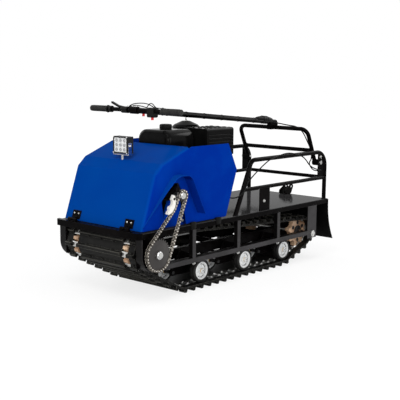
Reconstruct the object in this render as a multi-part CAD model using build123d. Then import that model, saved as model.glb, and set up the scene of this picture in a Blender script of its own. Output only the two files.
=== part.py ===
from build123d import *
import os
from math import asin, atan2, ceil, cos, degrees, hypot, pi, radians, sin

# Tracked snow tug. Millimetres, +X forward, +Y to the vehicle's left, +Z up, ground at Z 0.

# Overall
front_x = 845            # front face of the bumper
rear_x = -845            # lower edge of the rear flap
fit = 0.2                # radial clearance of shafts in their bores
seat = 0.3               # gap between neighbouring curved pieces

# Track and what carries it
track_width = 500
track_pitch = 64
belt_thickness = 10
lug_height = 17.5
lug_foot = 26            # lug length along the track at the belt
lug_tip = 14
lug_root = 1             # belt left under each lug
window_inset = 65        # middle of each row of drive windows in from the track's edge
window_width = 44
drive_teeth = 8
drive_x = 731
drive_z = 257
idler_near_x = -607      # rear axle before the track is tensioned
idler_z = 173
drive_sprocket_width = 30
valley_depth = 10        # between the teeth, under the belt's inner face
tooth_reach = 5          # tooth tips beyond the belt's outer face
axle_radius = 15
idler_axle_radius = 12
axle_end = 8
idler_end = 14
idler_nut_radius = 21
idler_nut_height = 10

# Road wheels and bogies
wheel_radius = 64
disc_radius = 48
wheel_width = 36
wheel_axle_radius = 9
outer_wheel_inset = 31   # outer wheels in from the track's edge
inner_wheel_y = 79
axle_nut = 8             # axle past what it carries
bogie_front_x = 376
bogie_spacing = 367
bogie_count = 3
bogie_half = 70          # pivot to each wheel axle along X
rocker_y = 149
rocker_thickness = 8
rocker_edge = 9          # plate left around each bore
pivot_radius = 16
beam_y = 114             # beams that carry the bogies, between rockers and inner wheels
beam_width = 26
beam_height = 54
beam_overhang = 130      # beams past the first and last bogie

# Frame
track_gap = 30           # track's edge to the rails
rail_size = 25
rail_bottom = 342
lower_bottom = 168
lower_width = 40
post_front_x = 444
post_spacing = 362
post_count = 3
deck_thickness = 3
deck_rear_x = -780
deck_setback = 1         # deck's front edge behind the rails' ends
frame_front_x = 815
cheek_thickness = 5
cheek_length = 185
bearing_radius = 42
bearing_depth = 14
cross_member_height = 20
axle_plate_length = 92
axle_plate_bottom = 146
axle_plate_thickness = 6
bumper_lip = 5           # bumper and flap past the rails
bumper_height = 32
bumper_corner = 20
flap_thickness = 3
flap_bottom = 112
hitch_overhang = 15     # towing pin behind the deck's edge
hitch_height = 45
hitch_round = 16
hitch_foot = 40
hitch_gap = 32
hitch_thickness = 8
hitch_hole_radius = 9

# Load rails
loop_inset = 13          # middle of each tube loop in from the rails' outer faces
loop_diameter = 25
loop_top = 660
loop_front_base_x = 100
loop_front_top_x = -34
loop_rear_x = -757
loop_front_bend = 45
loop_rear_bend = 85
mid_rail_z = 502
mid_rail_diameter = 22
side_plate_x = -157
side_plate_length = 90
side_plate_thickness = 6
pivot_plate_thickness = 6
pivot_plate_length = 60

# Handle, folded forward
pivot_ahead = 57         # pivot ahead of the rear uprights
pivot_drop = 63          # pivot under the top of the load rails
pivot_bolt_radius = 6
bolt_head_radius = 11
bolt_head = 9
bolt_overhang = 18
leg_gap = 34             # legs inside the tube loops
leg_diameter = 25
fork_top_x = -608
fork_top_z = 800
fork_bend = 45
fork_bar_diameter = 24
fork_bar_share = 0.36    # height of the lower cross tube along the legs
eye_radius = 19
eye_inset = 9
column_diameter = 30
column_rise = 30         # column axis above the fork's top tube
column_rear_overhang = 30
saddle_length = 70
clamp_radius = 19
clamp_width = 50
bar_x = 570
bar_z = 940
bar_half = 328
bar_diameter = 22
grip_length = 130
grip_diameter = 33
grip_cap = 2             # closed end of each grip

# Cowl
cowl_inset = 16          # side panels in from the rails' outer faces
cowl_thickness = 3
cowl_lift = 5            # lower edge above the deck
cowl_top = 764
cowl_front_x = 806       # lower front edge
cowl_fold_low = (713, 647)
cowl_fold_high = (663, 692)
cowl_top_front_x = 471
cowl_top_rear_x = 161
cowl_apex = (89, 620)    # rearmost point of the side panels
cowl_rear_x = 176
cowl_round = 16          # edges along the front
guard_depth = 56         # chain arch out from the panel
guard_taper = ((810, -2), (650, 24), (548, 57))    # x and depth of the arch's front leg
guard_bend = 52
guard_line = ((795, 392), (588, 630), (512, 630), (404, 424))
drive_cutout = ((652, 374), (655, 445), (668, 500), (655, 538), (630, 572), (600, 592), (548, 590), (522, 540),
                (490, 374))
hinge_y = 195
hinge_width = 60
hinge_height = 44
hinge_clear = 8
hinge_setback = 17       # hinge pin behind the bumper's front
hinge_lift = 11          # hinge pin above the bumper
hinge_pin_radius = 4
hinge_gap = 1
knuckle_radius = 7
leaf_thickness = 4

# Chain drive
chain_pitch = 15.875
chain_outset = 23        # chain's middle outside the rails
link_gap = 9.4           # between a link's inner plates
link_thickness = 2
link_height = 14
roller_radius = 4.7
small_teeth = 10
small_x = 559
small_z = 531
large_teeth = 31
tooth_rise = 4           # tooth tips above the pitch line
sprocket_thickness = 8
hub_radius = 24
hub_depth = 6
jackshaft_radius = 12
shaft_end = 12
stand_inset = 27         # bearing stands in from the cowl's panels
stand_thickness = 12
stand_head = 30
stand_foot = 78
stand_foot_round = 8
shoe_radius = 70         # chain's bend over the shoe
shoe_share = 0.7         # place of the shoe along the front strand
shoe_turn = -16          # shoe turned up along the strand, degrees
shoe_half = 50
shoe_depth = 34
shoe_width = 16
shoe_gap = 0.6
notches = ((-8, 18), (30, 9))    # place along the shoe and radius
notch_outset = 5         # notch middle outside the shoe's front
shoe_bolt_rise = 34      # bolt above the shoe's middle
shoe_bolt_inset = 5
arm_thickness = 6
arm_round = 15
arm_rise = 50            # guide roller above the shoe's bolt
arm_angle = 122
stud_radius = 6
stud_end = 3             # stud past the shoe
guide_radius = 13

# Engine
engine_rear_x = 0
engine_front_x = 440
engine_half = 190
engine_lift = 35         # engine rails' height
engine_rail_y = 90
engine_rail_width = 50
crankcase_half = 120
crankcase_setback = 60   # crankcase in from the engine's ends
crankcase_height = 185
fin_count = 6
fin_thickness = 5
fin_half = 95
barrel_half = 75
recoil_radius = 95
recoil_drop = 20
tank_length = 200
tank_bottom = 690
tank_height = 143
tank_half = 118
tank_round = 45
tank_edge = 18
tank_cap_radius = 33
tank_cap_height = 27
guard_gap = 20           # muffler guard behind the tank and left of the middle
guard_height = 148
guard_round = 14
louvre_count = 6
louvre_height = 8
louvre_depth = 5
louvre_margin = 18
cleaner_x = 104
cleaner_y = -70
cleaner_radius = 76
cleaner_rim = 835        # under the domed lid
dome_rise = 30
lid_edge = 10
lid_flat = 22

# Work lamp
lamp_width = 104
lamp_height = 86
lamp_depth = 42
lamp_x = 672
lamp_z = 768
lamp_border = 6
lens_recess = 5
lens_thickness = 3
lamp_fins = 7
lamp_fin_depth = 16
lamp_fin_gap = 8
yoke_thickness = 3
yoke_margin = 8
yoke_height = 62
lamp_stud_radius = 7
lamp_stud_length = 30

# Controls and cables on the handle
perch_radius = 17
perch_gap = 21           # brake lever's perch beside the bar's clamp
lever_inset = 30         # lever's tip in from the grip
lever_bend = 5 / 9       # place of the bend between perch and tip
lever_rise = (14, 22, 40)
lever_thickness = 9
lever_width = 14
switch_inset = 70        # switch box in from the grip
switch_width = 44
switch_depth = 36
switch_drop = 32
stop_x = 506
button_radius = 7
button_height = 13

# Cables, each route a list of (x, y, z)
cable_diameter = 7
cable_bend = 28
handle_cable = ((551.5, 128, 930), (490, 128, 930), (390, 19.2, 924), (-535, 19.2, 839.4), (-588, 62, 828),
                (-611, 118, 817.2), (-623, 172, 813), (-642, 206, 780), (-660, 228, 720), (-690, 236, 668),
                (-686, 241.4, 634))
rail_cable = ((-690, 308.3, 552), (-589, 308.3, 571), (-520, 308.3, 640), (-450, 308.3, 664), (-346, 308.3, 683),
              (-230, 308.3, 664), (-158, 308.3, 650), (14, 308.3, 552), (40, 308.3, 504), (85, 306, 470),
              (118, 262, 460), (112, 200, 500), (112, 120.4, 500))

# Worked-out places
frame_half = track_width / 2 + track_gap + rail_size
bumper_half = frame_half + bumper_lip
loop_y = frame_half - loop_inset
leg_y = loop_y - leg_gap
cowl_half = frame_half - cowl_inset
chain_y = frame_half + chain_outset
stand_y = cowl_half - stand_inset
window_y = track_width / 2 - window_inset
outer_wheel_y = track_width / 2 - outer_wheel_inset
rail_top = rail_bottom + rail_size
deck_top = rail_top + deck_thickness
lower_top = lower_bottom + rail_size
frame_inner = frame_half - rail_size
lower_inner = frame_half - lower_width
bumper_top = rail_bottom + bumper_height
cowl_bottom = deck_top + cowl_lift
hinge_x = front_x - hinge_setback
hinge_z = bumper_top + hinge_lift
pivot_x = loop_rear_x + pivot_ahead
pivot_z = loop_top - pivot_drop
engine_bottom = deck_top + engine_lift
tank_top = tank_bottom + tank_height
column_z = fork_top_z + column_rise
column_rear_x = fork_top_x - column_rear_overhang
column_slope = (bar_z - column_z) / (bar_x - column_rear_x)
wheel_z = lug_height + belt_thickness + wheel_radius
pitch_radius = drive_teeth * track_pitch / (2 * pi)
small_radius = small_teeth * chain_pitch / (2 * pi)
large_radius = large_teeth * chain_pitch / (2 * pi)
post_xs = [post_front_x - i * post_spacing for i in range(post_count)]
bogie_xs = [bogie_front_x - i * bogie_spacing for i in range(bogie_count)]
wheel_rows = ((1, inner_wheel_y), (-1, outer_wheel_y))
wheels = [(x + side * bogie_half, y) for x in bogie_xs for side, y in wheel_rows]


class Loop:
    """Closed path around circles, each (x, z, radius, turn), turn -1 where it presses from outside."""

    def __init__(self, circles):
        self.pieces = []
        tangents = [self.tangent(a, b) for a, b in zip(circles, circles[1:] + circles[:1])]
        for i, (x, z, radius, turn) in enumerate(circles):
            start = tangents[i - 1][1]
            end = tangents[i][0]
            a0 = atan2(start[1] - z, start[0] - x)
            a1 = atan2(end[1] - z, end[0] - x)
            sweep = turn * ((turn * (a1 - a0)) % (2 * pi))
            self.pieces.append(("arc", (x, z), radius, a0, sweep))
            self.pieces.append(("line", end, tangents[i][2], None, None))
        self.lengths = [abs(p[2] * p[4]) if p[0] == "arc" else hypot(p[2][0] - p[1][0], p[2][1] - p[1][1])
                        for p in self.pieces]
        self.length = sum(self.lengths)

    @staticmethod
    def tangent(a, b):
        reach = hypot(b[0] - a[0], b[1] - a[1])
        heading = atan2(b[1] - a[1], b[0] - a[0]) + asin((a[3] * a[2] - b[3] * b[2]) / reach)
        nx, nz = sin(heading), -cos(heading)
        start = (a[0] + a[3] * a[2] * nx, a[1] + a[3] * a[2] * nz)
        end = (b[0] + b[3] * b[2] * nx, b[1] + b[3] * b[2] * nz)
        return start, end, end

    def place(self, s):
        """Point and outward angle in degrees at arc length s."""
        s %= self.length
        for piece, length in zip(self.pieces, self.lengths):
            if s <= length:
                break
            s -= length
        if piece[0] == "line":
            (x0, z0), (x1, z1) = piece[1], piece[2]
            t = s / length
            return (x0 + (x1 - x0) * t, z0 + (z1 - z0) * t), degrees(atan2(z1 - z0, x1 - x0)) - 90
        turn = 1 if piece[4] > 0 else -1
        angle = piece[3] + turn * s / piece[2]
        x, z = piece[1]
        outward = degrees(angle) + (0 if turn > 0 else 180)
        return (x + piece[2] * cos(angle), z + piece[2] * sin(angle)), outward

    def face(self):
        edges = []
        for kind, a, b, a0, sweep in self.pieces:
            if kind == "line":
                edges.append(Line(a, b))
            elif abs(sweep) > 1e-6:
                at = [(a[0] + b * cos(a0 + k * sweep), a[1] + b * sin(a0 + k * sweep)) for k in (0, 0.5, 1)]
                edges.append(ThreePointArc(*at))
        return make_face(edges)


def prism(profile, y0, y1):
    """Extrude a profile drawn in X and Z from y0 to y1."""
    return extrude(Plane.XZ.offset(-y1) * profile, amount=y1 - y0)


def outline(*points):
    return make_face(Polyline(*points, close=True))


def block(x0, x1, y0, y1, z0, z1):
    return Pos((x0 + x1) / 2, (y0 + y1) / 2, (z0 + z1) / 2) * Box(x1 - x0, y1 - y0, z1 - z0)


def rod(x, z, radius, y0, y1):
    """Round bar along Y."""
    return Pos(x, (y0 + y1) / 2, z) * Cylinder(radius, y1 - y0, rotation=(90, 0, 0))


def ring(x, z, outer, inner, y0, y1):
    return rod(x, z, outer, y0, y1) - rod(x, z, inner, y0, y1)


def tube(diameter, bend, *points):
    """Round tube along points, its corners bent to one radius."""
    path = FilletPolyline(*points, radius=bend) if len(points) > 2 else Line(*points)
    start = Plane(origin=path @ 0, z_dir=path % 0)
    return sweep(start * Circle(diameter / 2), path=path)


def cable(points):
    line = FilletPolyline(*points, radius=cable_bend)
    start = Plane(origin=line @ 0, z_dir=line % 0)
    return sweep(start * RegularPolygon(cable_diameter / 2, 8), path=line)


def both_sides(piece):
    return [piece, mirror(piece, about=Plane.XZ)]


def save(node, *solids):
    export_step(Compound(list(solids)), f"parts/{node}.step")


def track_circles(idler_x, grow=0.0):
    """Wheels that the track's pitch line runs around, counter-clockwise seen from the right."""
    ground_radius = wheel_radius + belt_thickness / 2
    last_x = wheels[-1][0]
    first_x = wheels[0][0]
    rows = [(last_x, wheel_z, ground_radius), (first_x, wheel_z, ground_radius),
            (drive_x, drive_z, pitch_radius), (idler_x, idler_z, pitch_radius)]
    return [(x, z, radius + grow, 1) for x, z, radius in rows]


def tensioned_idler():
    """Rear axle place that closes the track on a whole number of links."""
    idler_x = idler_near_x
    links = round(Loop(track_circles(idler_x)).length / track_pitch)
    for _ in range(20):
        idler_x += (Loop(track_circles(idler_x)).length - links * track_pitch) / 2
    return idler_x, links


def chain_circles(push):
    """Sprockets and shoe that the chain's pitch line runs around, the shoe pressed in by push."""
    large = (drive_x, drive_z, large_radius, 1)
    small = (small_x, small_z, small_radius, 1)
    start, end, _ = Loop.tangent(large, small)
    strand = hypot(end[0] - start[0], end[1] - start[1])
    along = ((end[0] - start[0]) / strand, (end[1] - start[1]) / strand)
    out = shoe_radius - push
    shoe_x = start[0] + along[0] * strand * shoe_share + along[1] * out
    shoe_z = start[1] + along[1] * strand * shoe_share - along[0] * out
    return [large, (shoe_x, shoe_z, shoe_radius, -1), small]


def tensioned_shoe():
    """Push of the shoe that closes the chain on an even number of links."""
    large, _, small = chain_circles(0)
    links = 2 * ceil(Loop([large, small]).length / (2 * chain_pitch))
    low, high = 0, shoe_radius
    for _ in range(40):
        push = (low + high) / 2
        if Loop(chain_circles(push)).length < links * chain_pitch:
            low = push
        else:
            high = push
    return push, links


idler_x, track_links = tensioned_idler()
track_path = Loop(track_circles(idler_x))
shoe_push, chain_links = tensioned_shoe()
chain_path = Loop(chain_circles(shoe_push))
shoe_x, shoe_z = chain_circles(shoe_push)[1][:2]


def phase(path, x, z, radius, pitch, count):
    """Angle of the first gap between links, out of count, that lies on the wheel at x and z."""
    for i in range(count):
        (px, pz), angle = path.place((i + 0.5) * pitch)
        if abs(hypot(px - x, pz - z) - radius) < seat:
            return angle


def star(x, z, teeth, angle, *rows):
    """Toothed outline; each row is (radius, share of the half pitch) on one flank, from root to tip."""
    flank = [(radius, -share) for radius, share in rows] + [(radius, share) for radius, share in rows[::-1]]
    points = []
    for i in range(teeth):
        for radius, share in flank:
            turn = radians(angle + (i + share / 2) * 360 / teeth)
            points.append((x + radius * cos(turn), z + radius * sin(turn)))
    return outline(*points)


def make_track():
    outer = Loop(track_circles(idler_x, belt_thickness / 2)).face()
    inner = Loop(track_circles(idler_x, -belt_thickness / 2)).face()
    edge = track_width / 2
    window_inner = window_y - window_width / 2
    window_outer = window_y + window_width / 2
    belt = [prism(outer - inner, y0, y1) for y0, y1 in
            ((-edge, -window_outer), (-window_inner, window_inner), (window_outer, edge))]
    root = -belt_thickness / 2 + lug_root
    top = belt_thickness / 2
    tip = top + lug_height
    side = [(root, lug_foot / 2), (top, lug_foot / 2), (tip, lug_tip / 2)]
    lug = prism(outline(*side, *[(a, -b) for a, b in side[::-1]]), -edge, edge)
    for gap in both_sides(block(top, tip, window_inner, window_outer, -lug_foot, lug_foot)):
        lug -= gap
    lugs = []
    for i in range(track_links):
        (x, z), angle = track_path.place(i * track_pitch)
        lugs.append(Pos(x, 0, z) * Rot(0, -angle, 0) * lug)
    save("track", belt[0].fuse(*belt[1:], *lugs))


def make_running_gear():
    shoulder = pitch_radius - belt_thickness / 2 - seat
    tip = pitch_radius + belt_thickness / 2 + tooth_reach
    y0 = window_y - drive_sprocket_width / 2
    y1 = window_y + drive_sprocket_width / 2
    for node, x, z, radius in (("drive", drive_x, drive_z, axle_radius),
                               ("idler", idler_x, idler_z, idler_axle_radius)):
        angle = phase(track_path, x, z, pitch_radius, track_pitch, track_links)
        wheel = star(x, z, drive_teeth, angle, (shoulder - valley_depth, 0.75), (shoulder, 0.45), (tip, 0.2))
        wheel -= Pos(x, z) * Circle(radius + fit)
        save(f"{node}_sprockets", *both_sides(prism(wheel, y0, y1)))
    save("drive_axle", rod(drive_x, drive_z, axle_radius, -frame_half - axle_end,
                           chain_y + sprocket_thickness / 2 + hub_depth + axle_end))
    idler = rod(idler_x, idler_z, idler_axle_radius, -frame_half - idler_end, frame_half + idler_end)
    nut = Pos(idler_x, idler_z) * RegularPolygon(idler_nut_radius, 6)
    for side in both_sides(prism(nut, frame_half, frame_half + idler_nut_height)):
        idler += side
    save("idler_axle", idler)

    discs = []
    tyres = []
    axles = []
    for x, y in wheels:
        y0, y1 = y - wheel_width / 2, y + wheel_width / 2
        discs += both_sides(ring(x, wheel_z, disc_radius, wheel_axle_radius + fit, y0, y1))
        tyres += both_sides(ring(x, wheel_z, wheel_radius - seat, disc_radius, y0, y1))
        reach = max(y1, rocker_y + rocker_thickness / 2) + axle_nut
        axles.append(rod(x, wheel_z, wheel_axle_radius, -reach, reach))
    save("wheel_discs", *discs)
    save("wheel_tyres", *tyres)
    save("wheel_axles", *axles)

    pivots = []
    rockers = []
    pivot_height = (lower_bottom + lower_top) / 2
    for x in bogie_xs:
        pivots.append(rod(x, pivot_height, pivot_radius, -lower_inner, lower_inner))
        bores = [(x, pivot_height, pivot_radius)]
        bores += [(x + side * bogie_half, wheel_z, wheel_axle_radius) for side in (-1, 1)]
        plate = Loop([(bx, bz, r + rocker_edge, 1) for bx, bz, r in bores]).face()
        for bx, bz, r in bores:
            plate -= Pos(bx, bz) * Circle(r + fit)
        rockers += both_sides(prism(plate, rocker_y - rocker_thickness / 2, rocker_y + rocker_thickness / 2))
    save("bogie_tubes", *pivots)
    save("bogie_rockers", *rockers)
    beam = block(bogie_xs[-1] - beam_overhang, bogie_xs[0] + beam_overhang, beam_y - beam_width / 2,
                 beam_y + beam_width / 2, pivot_height - beam_height / 2, pivot_height + beam_height / 2)
    for x in bogie_xs:
        beam -= rod(x, pivot_height, pivot_radius + fit, beam_y - beam_width, beam_y + beam_width)
    save("suspension_beams", *both_sides(beam))


def make_frame():
    rail = block(deck_rear_x, frame_front_x, frame_inner, frame_half, rail_bottom, rail_top)
    save("top_rails", *both_sides(rail))
    half = rail_size / 2
    cross_xs = [deck_rear_x + half] + post_xs
    save("cross_members", *[block(x - half, x + half, -frame_inner, frame_inner, rail_top - cross_member_height,
                                  rail_top) for x in cross_xs])
    posts = []
    for x in post_xs:
        posts += both_sides(block(x - half, x + half, frame_inner, frame_half, lower_top, rail_bottom))
    save("frame_posts", *posts)

    plate_front = idler_x + axle_plate_length / 2
    plate_rear = idler_x - axle_plate_length / 2
    bend = drive_z - lower_bottom
    nose_x = drive_x + bend
    lower = block(plate_front, drive_x, lower_inner, frame_half, lower_bottom, lower_top)
    curve = ring(drive_x, drive_z, bend, bend - cheek_thickness, lower_inner, frame_half)
    curve &= block(drive_x, nose_x, lower_inner, frame_half, lower_bottom, drive_z)
    riser = block(nose_x - cheek_thickness, nose_x, lower_inner, frame_half, drive_z, rail_bottom)
    save("lower_rails", *both_sides(lower + curve + riser))

    cheek_front = nose_x - cheek_thickness
    cheek = block(cheek_front - cheek_length, cheek_front, lower_inner - cheek_thickness, lower_inner,
                  lower_top, rail_bottom)
    cheek += rod(drive_x, drive_z, bearing_radius, lower_inner, lower_inner + bearing_depth)
    cheek -= rod(drive_x, drive_z, axle_radius + fit, lower_inner - cheek_thickness, lower_inner + bearing_depth)
    save("cheek_plates", *both_sides(cheek))

    plate_inner = frame_half - axle_plate_thickness
    plate = block(plate_rear, plate_front, plate_inner, frame_half, axle_plate_bottom, rail_bottom)
    plate -= rod(idler_x, idler_z, idler_axle_radius + fit, plate_inner, frame_half)
    save("axle_plates", *both_sides(plate))

    bumper = block(nose_x, front_x, -bumper_half, bumper_half, rail_bottom, bumper_top)
    save("bumper", fillet(bumper.edges().filter_by(Axis.Z).group_by(Axis.X)[-1], bumper_corner))
    save("deck", block(deck_rear_x, frame_front_x - deck_setback, -frame_half, frame_half, rail_top, deck_top))

    root_x = deck_rear_x - flap_thickness / 2
    flap_line = Line((root_x, rail_top), (root_x, rail_bottom))
    flap_line += TangentArc((root_x, rail_bottom), (rear_x + flap_thickness / 2, flap_bottom), tangent=(0, -1))
    flap = trace(flap_line, line_width=flap_thickness)
    save("rear_flap", prism(flap, -bumper_half, bumper_half))
    hitch_x = deck_rear_x - hitch_overhang
    hitch_z = deck_top + hitch_height
    ear = Loop([(hitch_x, hitch_z, hitch_round, 1), (deck_rear_x, deck_top + hitch_round, hitch_round, 1),
                (deck_rear_x + hitch_foot, deck_top + hitch_round, hitch_round, 1)]).face()
    ear -= Pos(hitch_x, hitch_z) * Circle(hitch_hole_radius)
    inner = hitch_gap / 2
    save("tow_hitch", *both_sides(prism(ear, inner, inner + hitch_thickness)))


def make_load_rails():
    lean = (loop_front_base_x - loop_front_top_x) / (loop_top - deck_top)
    middle_x = (loop_front_top_x + loop_rear_x) / 2
    foot = (loop_front_base_x + lean * loop_diameter, loop_y, deck_top - loop_diameter)
    loop = tube(loop_diameter, loop_front_bend, foot, (loop_front_top_x, loop_y, loop_top),
                (middle_x, loop_y, loop_top))
    loop = split(loop, Plane.XY.offset(deck_top), keep=Keep.TOP)
    back = tube(loop_diameter, loop_rear_bend, (middle_x, loop_y, loop_top), (loop_rear_x, loop_y, loop_top),
                (loop_rear_x, loop_y, deck_top))
    mid_front_x = loop_front_base_x - lean * (mid_rail_z - deck_top)
    middle = tube(mid_rail_diameter, 1, (mid_front_x, loop_y, mid_rail_z), (loop_rear_x, loop_y, mid_rail_z))
    inner, outer = loop_y - pivot_plate_thickness / 2, loop_y + pivot_plate_thickness / 2
    plate = block(loop_rear_x, loop_rear_x + loop_diameter / 2 + pivot_plate_length, inner, outer,
                  mid_rail_z, loop_top)
    plate -= rod(pivot_x, pivot_z, pivot_bolt_radius + fit, inner, outer)
    corner = loop_rear_bend / 2
    plate -= block(loop_rear_x - corner, loop_rear_x + corner, inner, outer, loop_top - corner, loop_top)
    side = loop + back + middle + plate
    save("load_rail_left", side)
    save("load_rail_right", mirror(side, about=Plane.XZ))
    reach = loop_y - loop_diameter / 2
    save("rear_cross_rail", rod(loop_rear_x, mid_rail_z, mid_rail_diameter / 2, -reach, reach))
    half_length, half_thickness = side_plate_length / 2, side_plate_thickness / 2
    side_plate = block(side_plate_x - half_length, side_plate_x + half_length, loop_y - half_thickness,
                       loop_y + half_thickness, deck_top, mid_rail_z - mid_rail_diameter / 2)
    save("side_plates", *both_sides(side_plate))
    bolt = rod(pivot_x, pivot_z, pivot_bolt_radius, leg_y - bolt_overhang, outer)
    bolt += rod(pivot_x, pivot_z, bolt_head_radius, outer, outer + bolt_head)
    save("pivot_bolts", *both_sides(bolt))
    save("rail_cable", cable(rail_cable))


def make_handle():
    legs = [(pivot_x, leg_y, pivot_z), (fork_top_x, leg_y, fork_top_z)]
    fork = tube(leg_diameter, fork_bend, *legs, *[(x, -y, z) for x, y, z in legs[::-1]])
    eye = (leg_y - eye_inset, loop_y - pivot_plate_thickness / 2 - fit)
    for side in both_sides(rod(pivot_x, pivot_z, eye_radius, *eye)):
        fork += side
    for side in both_sides(rod(pivot_x, pivot_z, pivot_bolt_radius + fit, leg_y - leg_diameter, loop_y)):
        fork -= side
    bar_at = (pivot_x + (fork_top_x - pivot_x) * fork_bar_share, pivot_z + (fork_top_z - pivot_z) * fork_bar_share)
    fork += rod(*bar_at, fork_bar_diameter / 2, -leg_y, leg_y)
    save("handle_fork", fork)

    column_line = ((column_rear_x, 0, column_z), (bar_x, 0, bar_z))
    column = tube(column_diameter, 1, *column_line)
    column += block(fork_top_x - saddle_length / 2, fork_top_x + saddle_length / 2, -column_diameter / 2,
                    column_diameter / 2, fork_top_z - leg_diameter / 2, column_z)
    column -= rod(fork_top_x, fork_top_z, leg_diameter / 2 + fit, -leg_y, leg_y)
    column += rod(bar_x, bar_z, clamp_radius, -clamp_width / 2, clamp_width / 2)
    column -= rod(bar_x, bar_z, bar_diameter / 2 + fit, -clamp_width, clamp_width)
    save("handle_column", column)
    grip_inner = bar_half - grip_length
    save("handlebar", rod(bar_x, bar_z, bar_diameter / 2, grip_cap - bar_half, bar_half - grip_cap))
    grip = ring(bar_x, bar_z, grip_diameter / 2, bar_diameter / 2, grip_inner, bar_half - grip_cap)
    grip += rod(bar_x, bar_z, grip_diameter / 2, bar_half - grip_cap, bar_half)
    save("grips", *both_sides(grip))

    bore = bar_diameter / 2 + fit
    perch_y = -(clamp_width / 2 + perch_gap + lever_width)
    tip_y = lever_inset - grip_inner
    bend_y = perch_y + lever_bend * (tip_y - perch_y)
    blade = [(y, bar_z + rise) for y, rise in zip((perch_y, bend_y, tip_y), lever_rise)]
    blade += [(y, z - lever_thickness) for y, z in blade[::-1]]
    lever = extrude(Plane.YZ.offset(bar_x - lever_width / 2) * outline(*blade), amount=lever_width)
    lever += rod(bar_x, bar_z, perch_radius, perch_y, perch_y + lever_width)
    lever += rod(bar_x, bar_z, perch_radius, perch_y - 2 * lever_width, perch_y)
    lever -= rod(bar_x, bar_z, bore, tip_y, perch_y + lever_width)
    clamp = ring(bar_x, bar_z, perch_radius, bore, tip_y - lever_width, tip_y)
    switch_low = bar_z - switch_drop
    switch_y = grip_inner - switch_inset
    switch = block(bar_x - switch_depth / 2, bar_x + switch_depth / 2, switch_y - switch_width / 2,
                   switch_y + switch_width / 2, switch_low, bar_z + perch_radius)
    switch = fillet(switch.edges().filter_by(Axis.Y), switch_depth / 4)
    switch -= rod(bar_x, bar_z, bore, switch_y - switch_width, switch_y + switch_width)
    save("handle_controls", lever, clamp, switch)
    stop_top = column_z + column_slope * (stop_x - column_rear_x) - column_diameter / 2
    button = Cylinder(button_radius, button_height, align=(Align.CENTER, Align.CENTER, Align.MAX))
    stop = Pos(stop_x, 0, stop_top + fit) * button
    stop -= tube(column_diameter + 2 * fit, 1, *column_line)
    save("stop_buttons", stop, Pos(bar_x, switch_y, switch_low) * button)
    save("handle_cable", cable(handle_cable))


def cowl_form(inset):
    """Closed form of the cowl, taken in by inset on every side."""
    corners = [(cowl_front_x, cowl_bottom), cowl_fold_low, cowl_fold_high, (cowl_top_front_x, cowl_top),
               (cowl_top_rear_x, cowl_top), cowl_apex, (cowl_rear_x, cowl_bottom)]
    profile = outline(*corners)
    if inset:
        profile = offset(profile, -inset)
    half = cowl_half - inset
    form = prism(profile, -half, half)
    front = [e for e in form.edges() if abs(abs(e.center().Y) - half) < fit and e.center().X > cowl_top_front_x
             and e.center().Z > cowl_bottom + cowl_round]
    return fillet(front, cowl_round - inset)


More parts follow.
